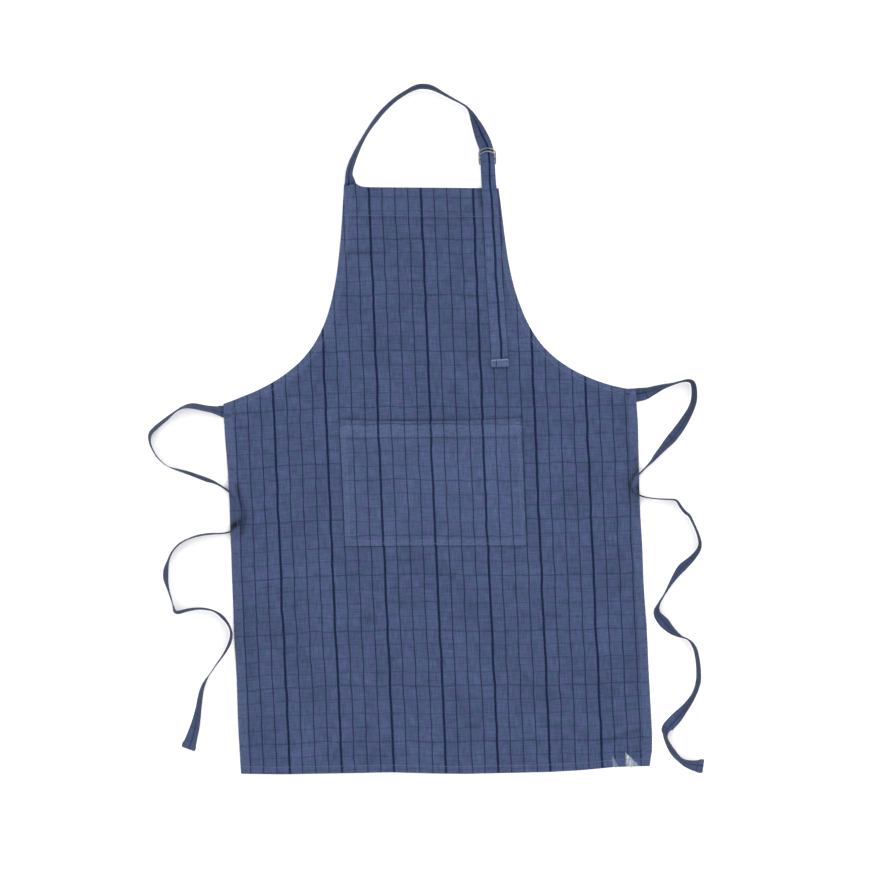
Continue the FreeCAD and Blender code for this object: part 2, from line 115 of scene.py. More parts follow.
# Painted shade on the cloth, in mm: a line, how far it spreads and how strongly.
# It falls where the cloth rides over the ties, in creases, beside and under the strap's tail and
# across the top hem; a negative strength paints a line lighter.
PAINTED_SHADES = [(in_metres(line), spread * MM, strength) for line, spread, strength in (
    ([(-291, -80), (-287, -126)], 14, 0.22),
    ([(-286, -72), (-280, -98), (-275.5, -113), (-278.5, -128), (-280, -142)], 3.2, 0.52),
    ([(-300, -80), (-291, -90)], 3.5, 0.26), ([(-297.5, -134.5), (-290.5, -129)], 4.7, 0.84),
    ([(-290.5, -129), (-284, -124)], 3.5, 0.72), ([(294.5, -66), (295.5, -130)], 12, 0.21),
    ([(300, -73), (290.5, -84), (285.8, -95), (288.5, -105), (296, -110)], 2.4, 0.56),
    ([(297.5, -99), (301, -108)], 3.8, 0.84),
    ([(301, -78), (292.5, -88.5), (290, -96)], 1.6, -0.16),
    ([(226, -470), (284, -452)], 3.5, 0.26), ([(-112, 260.5), (-66, 257.5)], 2.6, 0.26),
    ([(-100, 338.5), (82, 330.5)], 2.2, 0.11), ([(-100, 308), (82, 300.5)], 2, 0.13),
    ([(86, 345), (88, 322)], 4.5, 0.42), ([(88, 322), (90, 298)], 3, 0.3),
    ([(88.5, 300), (91, 220), (93, 90)], 1.7, 0.3),
    ([(111.5, 340), (113, 230), (115.5, 92)], 1.9, 0.36),
    ([(92, 82.8), (116.5, 82.2)], 1.6, 0.36))]

# ---- routes of the loose straps, as in the model, in mm

# Each point also says how wide the strap looks there from above: narrow where it stands on edge.
LEFT_TIE = [(-302.5, 36.5, 20), (-307, 37.5, 16.5), (-312, 38.8, 13), (-318, 40.5, 11),
            (-326, 42, 9.5), (-345, 47, 9), (-358, 46, 5),
            (-370, 40, 3), (-384, 29, 6), (-399, 18, 7), (-409, 9, 7), (-410, -3, 4),
            (-406, -15, 3), (-398, -29, 2.5), (-384, -41, 1.5), (-369, -46, 4), (-357, -50, 5.5),
            (-343, -56, 6.5), (-326, -63, 7), (-313, -69, 6), (-300, -78, 6), (-285, -92, 7),
            (-275, -110, 7), (-284, -131, 6), (-297, -139, 4), (-311, -141, 3), (-326, -140, 3),
            (-345, -142, 3), (-362, -147, 2), (-375, -154, 3), (-385, -165, 3), (-390, -177, 4),
            (-394, -190, 9), (-395, -203, 9), (-392, -218, 4.5), (-386, -240, 2.5),
            (-384, -252, 6), (-378, -253, 6), (-363, -249, 5), (-345, -248, 4), (-327, -252, 3.5),
            (-315, -261, 6), (-305, -275, 4.5), (-302, -288, 5), (-306, -302, 5.5),
            (-316, -318, 3), (-326, -330, 2), (-338, -346, 1.5), (-346, -358, 5.5),
            (-351, -372, 8), (-355, -393, 9.5), (-360, -415, 13.5), (-367, -436, 17),
            (-373, -452, 20)]
RIGHT_TIE = [(302.5, 34, 21), (320, 38, 15), (338, 45, 8), (353, 48, 4), (368, 52, 3),
             (378, 53, 5), (385, 48, 7), (385, 26, 8.5), (380, 12, 9), (372, -1, 11),
             (361, -17, 13.5), (349, -31, 14), (335, -45, 9.5), (319, -62, 5), (307, -74, 3.5),
             (297, -83, 4), (287, -94, 6), (291, -107, 6), (302, -113, 4), (314, -116, 2.5),
             (328, -118, 2.5), (343, -119, 2.5), (353, -120, 3), (358, -131, 4), (365, -140, 4.5),
             (370, -143, 4), (376, -157, 3), (382, -172, 3.5), (385, -190, 5), (373, -205, 8),
             (357, -218, 12), (348, -228, 9), (338, -242, 4.5), (329, -257, 1.5), (319, -271, 3),
             (316, -284, 11), (327, -298, 16), (338, -311, 11), (351, -320, 3.5),
             (361, -323, 2.5), (370, -335, 5.5), (373, -352, 6), (374, -370, 6.5),
             (373, -387, 7), (366, -405, 6), (353, -422, 10), (338, -438, 16), (325, -450, 16),
             (321, -459, 7), (322, -468, 5.5), (330, -485, 9), (341, -499, 8), (357, -507, 14),
             (375, -509, 20)]
# The neck strap from its sewn end over the loop to the rings, then down the bib.
NECK = [(-101.5, 312, 23.5), (-102, 340, 23.5), (-102.6, 352, 23.5), (-102.5, 359, 23),
        (-103.2, 365, 19.5), (-103.8, 374, 12.8), (-98, 391, 9.2), (-87, 413, 6),
        (-75, 433, 4.5), (-62, 450, 6), (-48.5, 465, 6), (-31.5, 479.5, 5.5), (-14.5, 489.5, 5),
        (0, 496.3, 6.5), (14, 496.3, 7), (24.5, 493.3, 6), (37, 485.5, 3.7), (53.3, 475.5, 2.3),
        (63.5, 469.8, 1.8), (74.5, 462, 2.5), (83.5, 443, 12.5), (90.5, 424, 20),
        (95.3, 411, 23.2)]
NECK += [(x, y, 23.5) for x, y in (                  # flat from here to its turned end
    (98.2, 400), (98.9, 385), (99, 366), (99.4, 350), (100, 336), (100.6, 305), (101, 270),
    (101.5, 230), (102.3, 190), (103.2, 150), (104, 112), (104.1, 98), (104.1, 96),
    (104.2, 94.5), (104.2, 93), (104.2, 84))]
# Its heights from the bib's top to the loop, in metres.
RING_LEVELS = [0.300, 0.332, 0.349, 0.356, 0.366, 0.374, 0.395, 0.410, 0.425, 0.445]
RING_HEIGHTS = np.array([3.9, 4.2, 4.3, 4.5, 5.0, 5.6, 5.8, 5.7, 7.0, 10.2]) * MM
# Its width as a share of its flat width: bunched in the rings, gathered where it is sewn on.
BUNCHED_LEVELS = [0.100, 0.250, 0.335, 0.362, 0.386, 0.404, 0.416, 0.436]
BUNCHED = [1.02, 0.97, 0.93, 0.895, 0.89, 0.85, 0.88, 0.95]
GATHERED_LEVELS = [0.352, 0.360, 0.368, 0.376, 0.392]
GATHERED = [0.80, 0.75, 0.70, 0.80, 1]


# ---- small numeric helpers

def smoothstep(low, high, value):
    t = np.clip((value - low) / (high - low), 0, 1)
    return t * t * (3 - 2 * t)


def hump(away, half):
    """1 where away is 0, fading to nothing over about twice half."""
    return np.exp(-(away / half) ** 2)


def unit(v):
    return v / np.linalg.norm(v, axis=-1, keepdims=True)


def run_along(line):
    """How far along a line each of its points is."""
    return np.concatenate([[0], np.cumsum(np.linalg.norm(np.diff(line, axis=0), axis=1))])


def sampled(at, run, values):
    """The rows of values at places along a run."""
    return np.stack([np.interp(at, run, column) for column in np.asarray(values).T], axis=-1)


def resampled(points, step):
    """Even points along a line, as an array."""
    run = run_along(points)
    at = np.linspace(0, run[-1], max(2, int(round(run[-1] / step)) + 1))
    return sampled(at, run, points)


def level_line(left, right, y, count):
    return np.column_stack([np.linspace(left, right, count), np.full(count, y)])


UP = np.array([0.0, 0.0, 1.0])
NOISE_TABLE = np.random.default_rng(11).uniform(-1, 1, (128, 128))


def soft_noise(x, y, shift=0):
    """Smooth noise between -1 and 1 that changes over about one unit of x and y."""
    i, j = np.floor(x).astype(int) + shift * 17, np.floor(y).astype(int) + shift * 31
    u, v = x - np.floor(x), y - np.floor(y)
    u, v = u * u * (3 - 2 * u), v * v * (3 - 2 * v)
    a, b = NOISE_TABLE[i % 128, j % 128], NOISE_TABLE[(i + 1) % 128, j % 128]
    c, d = NOISE_TABLE[i % 128, (j + 1) % 128], NOISE_TABLE[(i + 1) % 128, (j + 1) % 128]
    return (a * (1 - u) + b * u) * (1 - v) + (c * (1 - u) + d * u) * v


def distance_to(points, x, y):
    """Distance of each (x, y) from a broken line."""
    best = np.full(np.shape(x), 1e9)
    for (ax, ay), (bx, by) in zip(points, points[1:]):
        dx, dy = bx - ax, by - ay
        t = np.clip(((x - ax) * dx + (y - ay) * dy) / (dx * dx + dy * dy), 0, 1)
        best = np.minimum(best, np.hypot(x - ax - t * dx, y - ay - t * dy))
    return best


# ---- outline of the panel, from the frame

def right_edge():
    """The panel's right edge from the hem up: level and half width, from its own vertices."""
    found = sorted({(round(v.co.y, 6), round(v.co.x, 6))
                    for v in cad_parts["main_panel"].data.vertices if v.co.x > 0})
    return np.array([y for y, _ in found]), np.array([x for _, x in found])


EDGE_Y, EDGE_X = right_edge()
WAIST_Y, WAIST_HALF = float(EDGE_Y[1]), float(EDGE_X[1])
EDGE_LINE = np.column_stack([EDGE_X, EDGE_Y])
EDGE_RUN = run_along(EDGE_LINE)


def half_width(y):
    return np.interp(y, EDGE_Y, EDGE_X)


def side_distance(x, y):
    return distance_to(EDGE_LINE, np.abs(x), y)


def hem_distances(x, y):
    """How far inside each hem's inner line a point is: positive inside a hem."""
    side = side_distance(x, y)
    depth = np.where(y > WAIST_Y - 14 * MM, FACING_DEPTH, SIDE_HEM_DEPTH)
    return np.maximum.reduce([depth - side, TOP_HEM_DEPTH - (PANEL_HIGH.y - y),
                              BOTTOM_HEM_DEPTH - (y - PANEL_LOW.y)])


def outer_distance(x, y):
    return np.minimum.reduce([side_distance(x, y), PANEL_HIGH.y - y, y - PANEL_LOW.y])


# ---- how the cloth lies

def tie_lift(x, y):
    """The panel's edge rides up over the waist ties that run under it."""
    lift = np.zeros(np.shape(x))
    for under in (LEFT_UNDER, RIGHT_UNDER):
        away = distance_to(under, x, y)
        over = 0.66 * hump(away, 7 * MM) + 0.34 * hump(away, 17 * MM)
        lift = np.maximum(lift, TIE_LIFT * over)
    return lift


def painted_shade(x, y):
    """Painted shade: darker tone of the cloth where it rides over ties, creases or lies beside
    straps and the pocket, 1 elsewhere.
    """
    x, y = laid_place(x, y)
    tone = np.ones(np.shape(x))
    for line, spread, strength in PAINTED_SHADES:
        tone = tone * (1 - strength * hump(distance_to(line, x, y), spread))
    return tone


def crease_lift(x, y):
    lift = np.zeros(np.shape(x))
    for start, end, half, high in CREASES:
        away = distance_to(in_metres([start, end]), x, y)
        lift = lift + high * MM * hump(away, half * MM)
    return lift


def bed(x, y):
    """Height of the cloth's underside where there is no hem below it."""
    x, y = np.asarray(x, float), np.asarray(y, float)
    broad = 0.9 * soft_noise(x / 0.11 + 3, y / 0.15 + 8) + 0.45 * soft_noise(x / 0.045, y / 0.06, 2)
    fine = 0.16 * soft_noise(x / 0.016, y / 0.019, 3)
    inset = hem_distances(x, y)
    along = np.where(side_distance(x, y) < 20 * MM, y, x)
    pucker = 0.30 * soft_noise(along / 0.0085, inset / 0.05, 4) * hump(inset, 8 * MM)
    px, py = laid_place(x, y)
    height = (1.1 + broad + fine + pucker) * MM + crease_lift(px, py)
    return FLOOR_GAP + np.maximum(height, 0.05 * MM) + tie_lift(px, py)


def hem_lift(x, y):
    return HEM_THICK * smoothstep(-0.7 * MM, 0.9 * MM, hem_distances(x, y))


def panel_top(x, y):
    return bed(x, y) + hem_lift(x, y) + CLOTH


def laid_place(x, y):
    """Where a point (x, y) of the flat cloth lies once the cloth is put down."""
    x, y = np.asarray(x, float), np.asarray(y, float)
    moved = y - np.interp(y, SKEW_LEVELS, SKEW_SLOPES) * x
    bow = np.interp(x, BOW_PLACES, BOW_DEPTHS) * MM
    moved = moved - bow * smoothstep(-0.300, PANEL_LOW.y, y)
    past = x + 0.0945                                    # beyond the neck strap's inner edge
    pull = np.where(past > 0, 5.2 * np.exp(-past / 0.0045), 3.4 + 1.8 * hump(past, 0.003))
    pull = pull * MM * smoothstep(0.336, PANEL_HIGH.y, y)
    moved = moved - 2.9 * MM * hump(x + 0.304, 0.021) * smoothstep(0.012, 0.048, y)
    moved = moved + 0.8 * MM * smoothstep(0.15, PANEL_HIGH.y, y) + pull
    share = np.clip(x / half_width(y), -1, 1) * 0.5 + 0.5
    left = np.interp(y, SHIFT_LEVELS, SHIFT_LEFT)
    right = np.interp(y, SHIFT_LEVELS, SHIFT_RIGHT)
    wave = 0.5 * soft_noise(x / 0.3 + 5, y / 0.06, 6)
    return x + (left * (1 - share) + right * share + wave) * MM, moved


def laid(x, y, z):
    """The same place as a point at height z."""
    return np.stack([*laid_place(x, y), z], axis=-1)


def woven_place(x, y):
    """Where a point of the flat cloth falls in the woven check, which runs a little uneven."""
    x, y = laid_place(x, y)
    low = smoothstep(-0.25, -0.42, y)
    drift = (np.interp(x, DRIFT_PLACES, DRIFT_HIGH) * (1 - low)
             + np.interp(x, DRIFT_PLACES, DRIFT_LOW) * low) * MM
    push = hump(x + 0.283, 0.016) * hump(y + 0.112, 0.020)
    aside = 0.8 * MM * low + 5 * MM * push
    return np.stack([x - aside, y - drift], axis=-1)


def on_panel(x, y):
    """Where a point of the pocket lies on the panel: it was sewn on a little askew."""
    x, y = np.asarray(x, float), np.asarray(y, float)
    down = 2.0 * MM * smoothstep(POCKET_LOW.y, POCKET_HIGH.y, y)
    end = x / POCKET_HIGH.x
    rise = (1.1 + 3.4 * end * end - 0.5 * end) * MM        # its mouth sags between the corners
    rise = rise * smoothstep(-0.014, POCKET_HIGH.y - 2 * MM, y)
    return x * 1.012 - 0.7 * MM, y - 0.0145 * x - down + rise


# ---- mesh makers

def new_object(name, points, faces, flat=None, worn=None, materials=(), slots=None, tone=None):
    """A smooth mesh object; flat gives each vertex its place in the uncut cloth."""
    mesh = bpy.data.meshes.new(name)
    mesh.from_pydata([tuple(p) for p in points], [], [tuple(int(i) for i in f) for f in faces])
    mesh.update()
    if flat is not None:
        layer = mesh.uv_layers.new(name="cloth")
        corner = np.zeros(len(mesh.loops), np.int32)
        mesh.loops.foreach_get("vertex_index", corner)
        layer.data.foreach_set("uv", np.asarray(flat, np.float32)[corner].ravel())
    if worn is not None:
        # worn is wear; tone is mostly painted shade
        tone = np.ones(len(points)) if tone is None else tone
        for word, values in (("worn", worn), ("tone", tone)):
            mesh.attributes.new(word, "FLOAT", "POINT").data.foreach_set(
                "value", np.asarray(values, np.float32).ravel())
    mesh.polygons.foreach_set("use_smooth", [True] * len(mesh.polygons))
    for material in materials:
        mesh.materials.append(material)
    if slots is not None:
        mesh.polygons.foreach_set("material_index", slots)
    return link(bpy.data.objects.new(name, mesh))


def link(obj):
    bpy.context.scene.collection.objects.link(obj)
    return obj


def wrapped_faces(rows, count):
    """Faces of a closed skin: rows of vertices, count to a row, and a cap at each end."""
    grid = np.arange(rows * count).reshape(rows, count)
    after = np.roll(grid, -1, axis=1)
    faces = [grid[:-1], grid[1:], after[1:], after[:-1]]
    return np.stack(faces, axis=-1).reshape(-1, 4).tolist() + [list(grid[0]), list(grid[-1][::-1])]


def skin(line, across, out, u, h, wide, fat):
    """Points round a line, from its section (u, h) and how wide and fat it is along the line."""
    wide, fat = (np.broadcast_to(v, len(line))[:, None] for v in (wide, fat))
    return (line[:, None] + across[:, None] * (u * wide)[..., None]
            + out[:, None] * (h * fat)[..., None]).reshape(-1, 3)


def slab_faces(rows, columns):
    """Faces of a closed thin slab: an upper and a lower grid of vertices and its four rims."""
    upper = np.arange(rows * columns).reshape(rows, columns)
    lower = upper + rows * columns
    quads = [(upper[:-1, :-1], upper[:-1, 1:], upper[1:, 1:], upper[1:, :-1]),
             (lower[:-1, :-1], lower[1:, :-1], lower[1:, 1:], lower[:-1, 1:]),
             (upper[:-1, 0], upper[1:, 0], lower[1:, 0], lower[:-1, 0]),
             (upper[1:, -1], upper[:-1, -1], lower[:-1, -1], lower[1:, -1]),
             (upper[0, 1:], upper[0, :-1], lower[0, :-1], lower[0, 1:]),
             (upper[-1, :-1], upper[-1, 1:], lower[-1, 1:], lower[-1, :-1])]
    return np.concatenate([np.stack(corners, axis=-1).reshape(-1, 4) for corners in quads])


def edge_drop(distance):
    """How far a folded edge curves away from the cloth's face, close to the fold."""
    inside = np.clip(1 - distance / ROLL, 0, 1)
    return ROLL * (1 - np.sqrt(1 - 0.98 * inside * inside))


def slab(name, x, y, upper, lower, material, uv_shift=(0, 0), worn=None, tone=None):
    """A thin closed cloth from grids of flat x, y and the heights of its two faces."""
    points = np.concatenate([laid(x, y, upper).reshape(-1, 3), laid(x, y, lower).reshape(-1, 3)])
    flat = woven_place(x, y).reshape(-1, 2) + np.array(uv_shift)
    worn = np.zeros(x.shape) if worn is None else worn
    # the tone is painted shade
    tone = painted_shade(x, y) if tone is None else tone
    grid = np.stack([x, y])
    ahead, aside = grid[:, -1, 0] - grid[:, 0, 0], grid[:, 0, -1] - grid[:, 0, 0]
    faces = slab_faces(*x.shape)
    if aside[0] * ahead[1] < aside[1] * ahead[0]:        # the grid runs the other way round
        faces = faces[:, ::-1]
    return new_object(name, points, faces, np.concatenate([flat, flat]),
                      np.concatenate([worn.ravel()] * 2), [material],
                      tone=np.concatenate([tone.ravel()] * 2))


EDGE_STEPS = np.array([0, 0.25, 0.6, 1.1, 2.2, 4.2, 6.6, 8.8, 9.7, 10.6, 11.8, 12.6, 13.6, 15.2,
                       18]) * MM


def panel_rows():
    """Levels of the panel's rows: even steps along its edge, close at both ends."""
    steps = np.linspace(0, EDGE_RUN[-1], int(EDGE_RUN[-1] / (3.7 * MM)))
    levels = np.interp(steps, EDGE_RUN, EDGE_Y)
    inset = np.concatenate([EDGE_STEPS[:4], [2.2 * MM]])
    hem_lines = [PANEL_LOW.y + BOTTOM_HEM_DEPTH + o * MM for o in (-1.4, -0.6, 0.2, 1.0)]
    hem_lines += [PANEL_HIGH.y - TOP_HEM_DEPTH + o * MM for o in (-1.2, -0.4, 0.4, 1.2)]
    extra = np.concatenate([PANEL_LOW.y + inset, PANEL_HIGH.y - inset, hem_lines])
    keep = [v for v in levels if np.min(np.abs(extra - v)) > 0.4 * MM]
    return np.sort(np.concatenate([keep, extra]))


def make_panel(material):
    """The body of the apron: one cut of cloth, raised where hems and ties lie under it."""
    levels = panel_rows()
    half = half_width(levels)
    middle = np.linspace(-1, 1, 151)[1:-1]
    columns = ([-(half - e) for e in EDGE_STEPS] + [(half - EDGE_STEPS[-1]) * s for s in middle]
               + [half - e for e in EDGE_STEPS[::-1]])
    x = np.stack(columns, axis=1)
    y = np.repeat(levels[:, None], x.shape[1], axis=1)
    lower = bed(x, y) + hem_lift(x, y)
    drop = edge_drop(outer_distance(x, y))
    inset = hem_distances(x, y)
    hem = smoothstep(-1 * MM, 1.5 * MM, inset)
    beside = smoothstep(SIDE_HEM_DEPTH + 1 * MM, SIDE_HEM_DEPTH - 1 * MM, side_distance(x, y))
    worn = 0.35 * hem + 0.75 * beside + 0.45 * hump(outer_distance(x, y), 2.0 * MM)
    # painted shade just below the top hem's inner edge, on top of the table's painted shade
    under = hump(PANEL_HIGH.y - TOP_HEM_DEPTH - 2.0 * MM - y, 1.6 * MM)
    tone = painted_shade(x, y) * (1 - 0.14 * under)
    upper = lower + CLOTH - drop
    return slab("apron_body", x, y, upper, np.minimum(lower, upper - 0.15 * MM), material,
                worn=worn, tone=tone)


def between(outer, inner, share):
    """Grids of x and y from one line of points to another."""
    grid = outer[:, None] + (inner - outer)[:, None] * share[:, None]
    return grid[..., 0], grid[..., 1]


def under_strip(name, outer, inner, material, steps=5):
    """A turned hem or facing below the panel: cloth between two lines of flat points."""
    share = np.concatenate([[0, 0.04, 0.1], np.linspace(0.2, 1, steps)])
    x, y = between(outer, inner, share)
    low = bed(x, y)
    drop = edge_drop(np.tile(share * np.hypot(*(inner - outer)[0]), (len(outer), 1)))
    upper = low + HEM_THICK * 0.96
    return slab(name, x, y, upper, np.minimum(low + drop, upper - 0.1 * MM), material,
                uv_shift=(0.013, 0.021))


def edge_points(low, high, step=4 * MM):
    """Points along the panel's right edge between two levels."""
    first, last = np.interp([low, high], EDGE_Y, EDGE_RUN)
    steps = np.linspace(first, last, max(2, int((last - first) / step)))
    return sampled(steps, EDGE_RUN, EDGE_LINE)


def moved_in(points, distance):
    along = unit(np.gradient(points, axis=0))
    return points + np.stack([-along[:, 1], along[:, 0]], axis=1) * distance


def make_hems(material):
    """Hems and facings, each below the panel where its own solid lies."""
    made = {}
    side = edge_points(PANEL_LOW.y + BOTTOM_HEM_DEPTH, TIE_LEVEL - TIE_WIDE / 2 - 0.5 * MM)
    facing = edge_points(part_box("armhole_facing_right")[0].y + 8 * MM,
                         PANEL_HIGH.y - TOP_HEM_DEPTH - 0.5 * MM)
    for word, sign in SIDES:
        for name, line, depth in (("side_hem", side, SIDE_HEM_DEPTH),
                                  ("armhole_facing", facing, FACING_DEPTH)):
            outer, inner = line * (sign, 1), moved_in(line, depth) * (sign, 1)
            made[f"{name}_{word}"] = under_strip(f"{name}_strip_{word}", outer[::sign],
                                                 inner[::sign], material)
    half, reach = half_width(PANEL_LOW.y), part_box("top_hem")[1].x - STRAP_WIDE - 4 * MM
    for name, line, depth, steps in (
            ("bottom_hem", level_line(-half, half, PANEL_LOW.y, 150), BOTTOM_HEM_DEPTH, 5),
            ("top_hem", level_line(reach, -reach, PANEL_HIGH.y, 60), -TOP_HEM_DEPTH, 12)):
        made[name] = under_strip(f"{name}_strip", line, line + (0, depth), material, steps)
    return made


# ---- pocket

POCKET_X = np.array([POCKET_LOW.x, POCKET_HIGH.x])
POCKET_Y = np.array([POCKET_LOW.y, POCKET_HIGH.y])
MOUTH_SEEN = MOUTH_HEM_DEPTH + 4 * MM


def pocket_inset(x, y):
    """Distance inside the pocket's three sewn sides."""
    return np.minimum.reduce([x - POCKET_X[0], POCKET_X[1] - x, y - POCKET_Y[0]])


def pocket_under(x, y):
    """Height of the pocket's inner face: sewn down at three sides, slack between them."""
    inset = pocket_inset(x, y)
    mouth = hump(POCKET_Y[1] - y, 38 * MM)
    across = np.clip(1 - (x / POCKET_X[1]) ** 2, 0, 1)
    slack = 0.7 + 0.5 * soft_noise(x / 0.05, y / 0.045, 7) + 1.5 * mouth * across
    slack = slack + 0.35 * soft_noise(x / 0.018, y / 0.024, 8)
    rise = smoothstep(3 * MM, 34 * MM, inset)
    return panel_top(*on_panel(x, y)) + 0.10 * MM + np.maximum(slack, 0.1) * MM * rise


def pocket_fold(x, y):
    """Extra thickness where the pocket's edges are turned in."""
    sewn = smoothstep(9.5 * MM, 8.3 * MM, pocket_inset(x, y))
    mouth = smoothstep(MOUTH_SEEN + 0.6 * MM, MOUTH_SEEN - 0.8 * MM, POCKET_Y[1] - y)
    return 0.75 * MM * np.maximum(sewn, mouth)


def pocket_top(x, y):
    return pocket_under(x, y) + pocket_fold(x, y) + CLOTH


def pocket_grid(low, high):
    steps = np.array([0, 0.25, 0.6, 1.1, 2.4, 4.5, 7, 8.2, 9.0, 9.8, 12]) * MM
    x = np.concatenate([POCKET_X[0] + steps, np.linspace(POCKET_X[0] + 16 * MM,
                                                         POCKET_X[1] - 16 * MM, 78),
                        (POCKET_X[1] - steps)[::-1]])
    turned = high - MOUTH_SEEN
    y = np.concatenate([low + steps, np.linspace(low + 16 * MM, turned - 3 * MM, 48),
                        turned + np.array([-1.2, -0.4, 0.4, 1.2, 4, 7, 10, 13]) * MM,
                        high - np.array([7.5, 6.3, 5.4, 4.5, 3.4, 2.2, 1.1, 0.6, 0.25, 0]) * MM])
    return np.meshgrid(x, y)


def pocket_shadows():
    """Painted shadows: soft dark lines on the panel close to the pocket's edges."""
    reach, out = np.linspace(*POCKET_X, 9), 0.7 * MM
    mouth = laid_place(*on_panel(reach, np.full(9, POCKET_Y[1] + out)))
    shadows = [(list(zip(*mouth)), 1.5 * MM, 0.26)]
    height = np.linspace(*POCKET_Y, 9)
    for x, strength in ((POCKET_X[0] - out, 0.16), (POCKET_X[1] + out, 0.24)):
        side = laid_place(*on_panel(np.full(9, x), height))
        shadows.append((list(zip(*side)), 1.4 * MM, strength))
    return shadows


# the pocket's painted shadows join the painted shade
PAINTED_SHADES += pocket_shadows()


def make_pocket(material):
    x, y = pocket_grid(*POCKET_Y)
    inset, depth = pocket_inset(x, y), POCKET_Y[1] - y
    under = pocket_under(x, y)
    upper = under + pocket_fold(x, y) + CLOTH - edge_drop(np.minimum(inset, depth))
    rolled = smoothstep(4.6 * MM, 6.4 * MM, depth)         # above this the mouth rolls over
    hem = np.maximum(smoothstep(9.5 * MM, 8 * MM, inset),
                     smoothstep(MOUTH_SEEN, MOUTH_SEEN - 1.5 * MM, depth)) * (0.2 + 0.8 * rolled)
    corner = hump(np.abs(x) - POCKET_X[1] + 6 * MM, 13 * MM) * hump(depth - 11 * MM, 10 * MM)
    worn = 0.30 + 0.75 * hem + 0.3 * hump(inset, 1.8 * MM) + 0.6 * hem * corner
    # tone: the pocket a little paler overall, with painted shade below the mouth hem's edge, where
    # the mouth rolls over, on the rolled strip and along the mouth's edge
    below_hem_shadow = hump(depth - MOUTH_SEEN - 1.2 * MM, 1.3 * MM)
    tone = 1.07 * (1 - 0.16 * below_hem_shadow * smoothstep(8 * MM, 12 * MM, inset))
    tone = tone * (1 - 0.12 * hump(depth - 5.4 * MM, 1.1 * MM))
    tone = tone * (1 - 0.30 * hump(depth, 1.2 * MM)) * (0.95 + 0.05 * rolled)
    return slab("pocket_patch", *on_panel(x, y), upper, np.minimum(under, upper - 0.2 * MM),
                material, uv_shift=(0.0006, 0.025), worn=worn, tone=tone)


def make_mouth_hem(material):
    """The pocket's mouth, turned to the inside: the strip seen when the pocket gapes."""
    line = level_line(POCKET_X[0] + 3 * MM, POCKET_X[1] - 3 * MM, POCKET_Y[1] - 0.3 * MM, 80)
    x, y = between(line[::-1], line[::-1] - (0, MOUTH_SEEN - 1 * MM), np.linspace(0, 1, 8))
    upper = pocket_under(x, y) + 0.5 * MM
    return slab("pocket_mouth_fold", *on_panel(x, y), upper, upper - 0.45 * MM, material,
                uv_shift=(0.004, 0.036))


# ---- stitches

STATIONS = np.array([(-0.5, 0.35), (-0.38, 0.9), (0.0, 1.0), (0.38, 0.9), (0.5, 0.35)])
# Thread ends that hang out of the worn right end of the bottom hem, in mm.
LOOSE_ENDS = [[(293, -503, 1.6), (297, -508, 1.0), (302, -515, 0.5), (309, -524, 0.4)],
              [(268, -501, 1.8), (271, -508, 0.8), (269, -513, 0.4)],
              [(249, -499, 1.8), (247, -505, 0.9), (250, -509, 0.4)]]


def stitch_mesh(centres, along, up=UP, long=STITCH_LONG, fat=STITCH_FAT, sides=6):
    """Vertices and faces of a row of short plump threads, each lying in its own direction."""
    centres, along, up = (np.reshape(v, (-1, 1, 1, 3)) for v in (centres, along, up))
    along = unit(along)
    up = unit(up - along * (up * along).sum(axis=-1, keepdims=True))
    offset, fatness = STATIONS.T[:, :, None]
    turn = 2 * math.pi * np.arange(sides) / sides
    high = fat * fatness * np.sin(turn) - 0.45 * fat * (abs(offset) * 2) ** 3
    wide = fat * fatness * 1.25 * np.cos(turn)
    points = (centres + along * (offset * long)[..., None] + up * high[..., None]
              + np.cross(along, up) * wide[..., None]).reshape(-1, 3)
    one = wrapped_faces(len(STATIONS), sides)
    return points, [[i + base for i in face]
                    for base in range(0, len(points), len(STATIONS) * sides) for face in one]


def threads(name, centres, along, material, more=(), **shape):
    """One object of stitches, with more (points, faces) of the same thread."""
    points, faces = stitch_mesh(centres, along, **shape)
    for extra, extra_faces in more:
        faces += [[i + len(points) for i in face] for face in extra_faces]
        points = np.concatenate([points, extra])
    return new_object(name, points, faces, materials=[material])


def on_cloth(x, y, surface, above=0.0):
    """Points on the panel's or the pocket's face, a little above it."""
    return laid(*(on_panel(x, y) if surface is pocket_top else (x, y)), surface(x, y) + above)


def sewn(name, lines, surface, material, more=()):
    """One object of stitches along several flat lines on a surface."""
    centres, along = [], []
    for line in lines:
        line = resampled(line, STITCH_LONG + STITCH_GAP)
        centres.append(on_cloth(*((line[1:] + line[:-1]) / 2).T, surface, 0.08 * MM))
        along.append(np.diff(on_cloth(*line.T, surface), axis=0))
    return threads(name, np.concatenate(centres), np.concatenate(along), material, more)


def loose_ends():
    """Points and faces of each thread end that hangs loose."""
    turn, fat = 2 * math.pi * np.arange(5) / 5, 0.22 * MM
    for end in LOOSE_ENDS:
        line = resampled(np.array(end) * MM, 1.5 * MM)
        line[1:-1] = (line[:-2] + 2 * line[1:-1] + line[2:]) / 4
        along = unit(np.gradient(line, axis=0))
        aside = unit(np.cross(along, UP))
        yield (skin(line, aside, np.cross(aside, along), np.cos(turn), np.sin(turn), fat, fat),
               wrapped_faces(len(line), len(turn)))


def cross_box(low, high):
    """A sewn rectangle with its two diagonals."""
    (x1, y1), (x2, y2) = low, high
    a, b, c, d = (x1, y1), (x2, y1), (x2, y2), (x1, y2)
    return [[a, b], [b, c], [c, d], [d, a], [a, c], [b, d]]


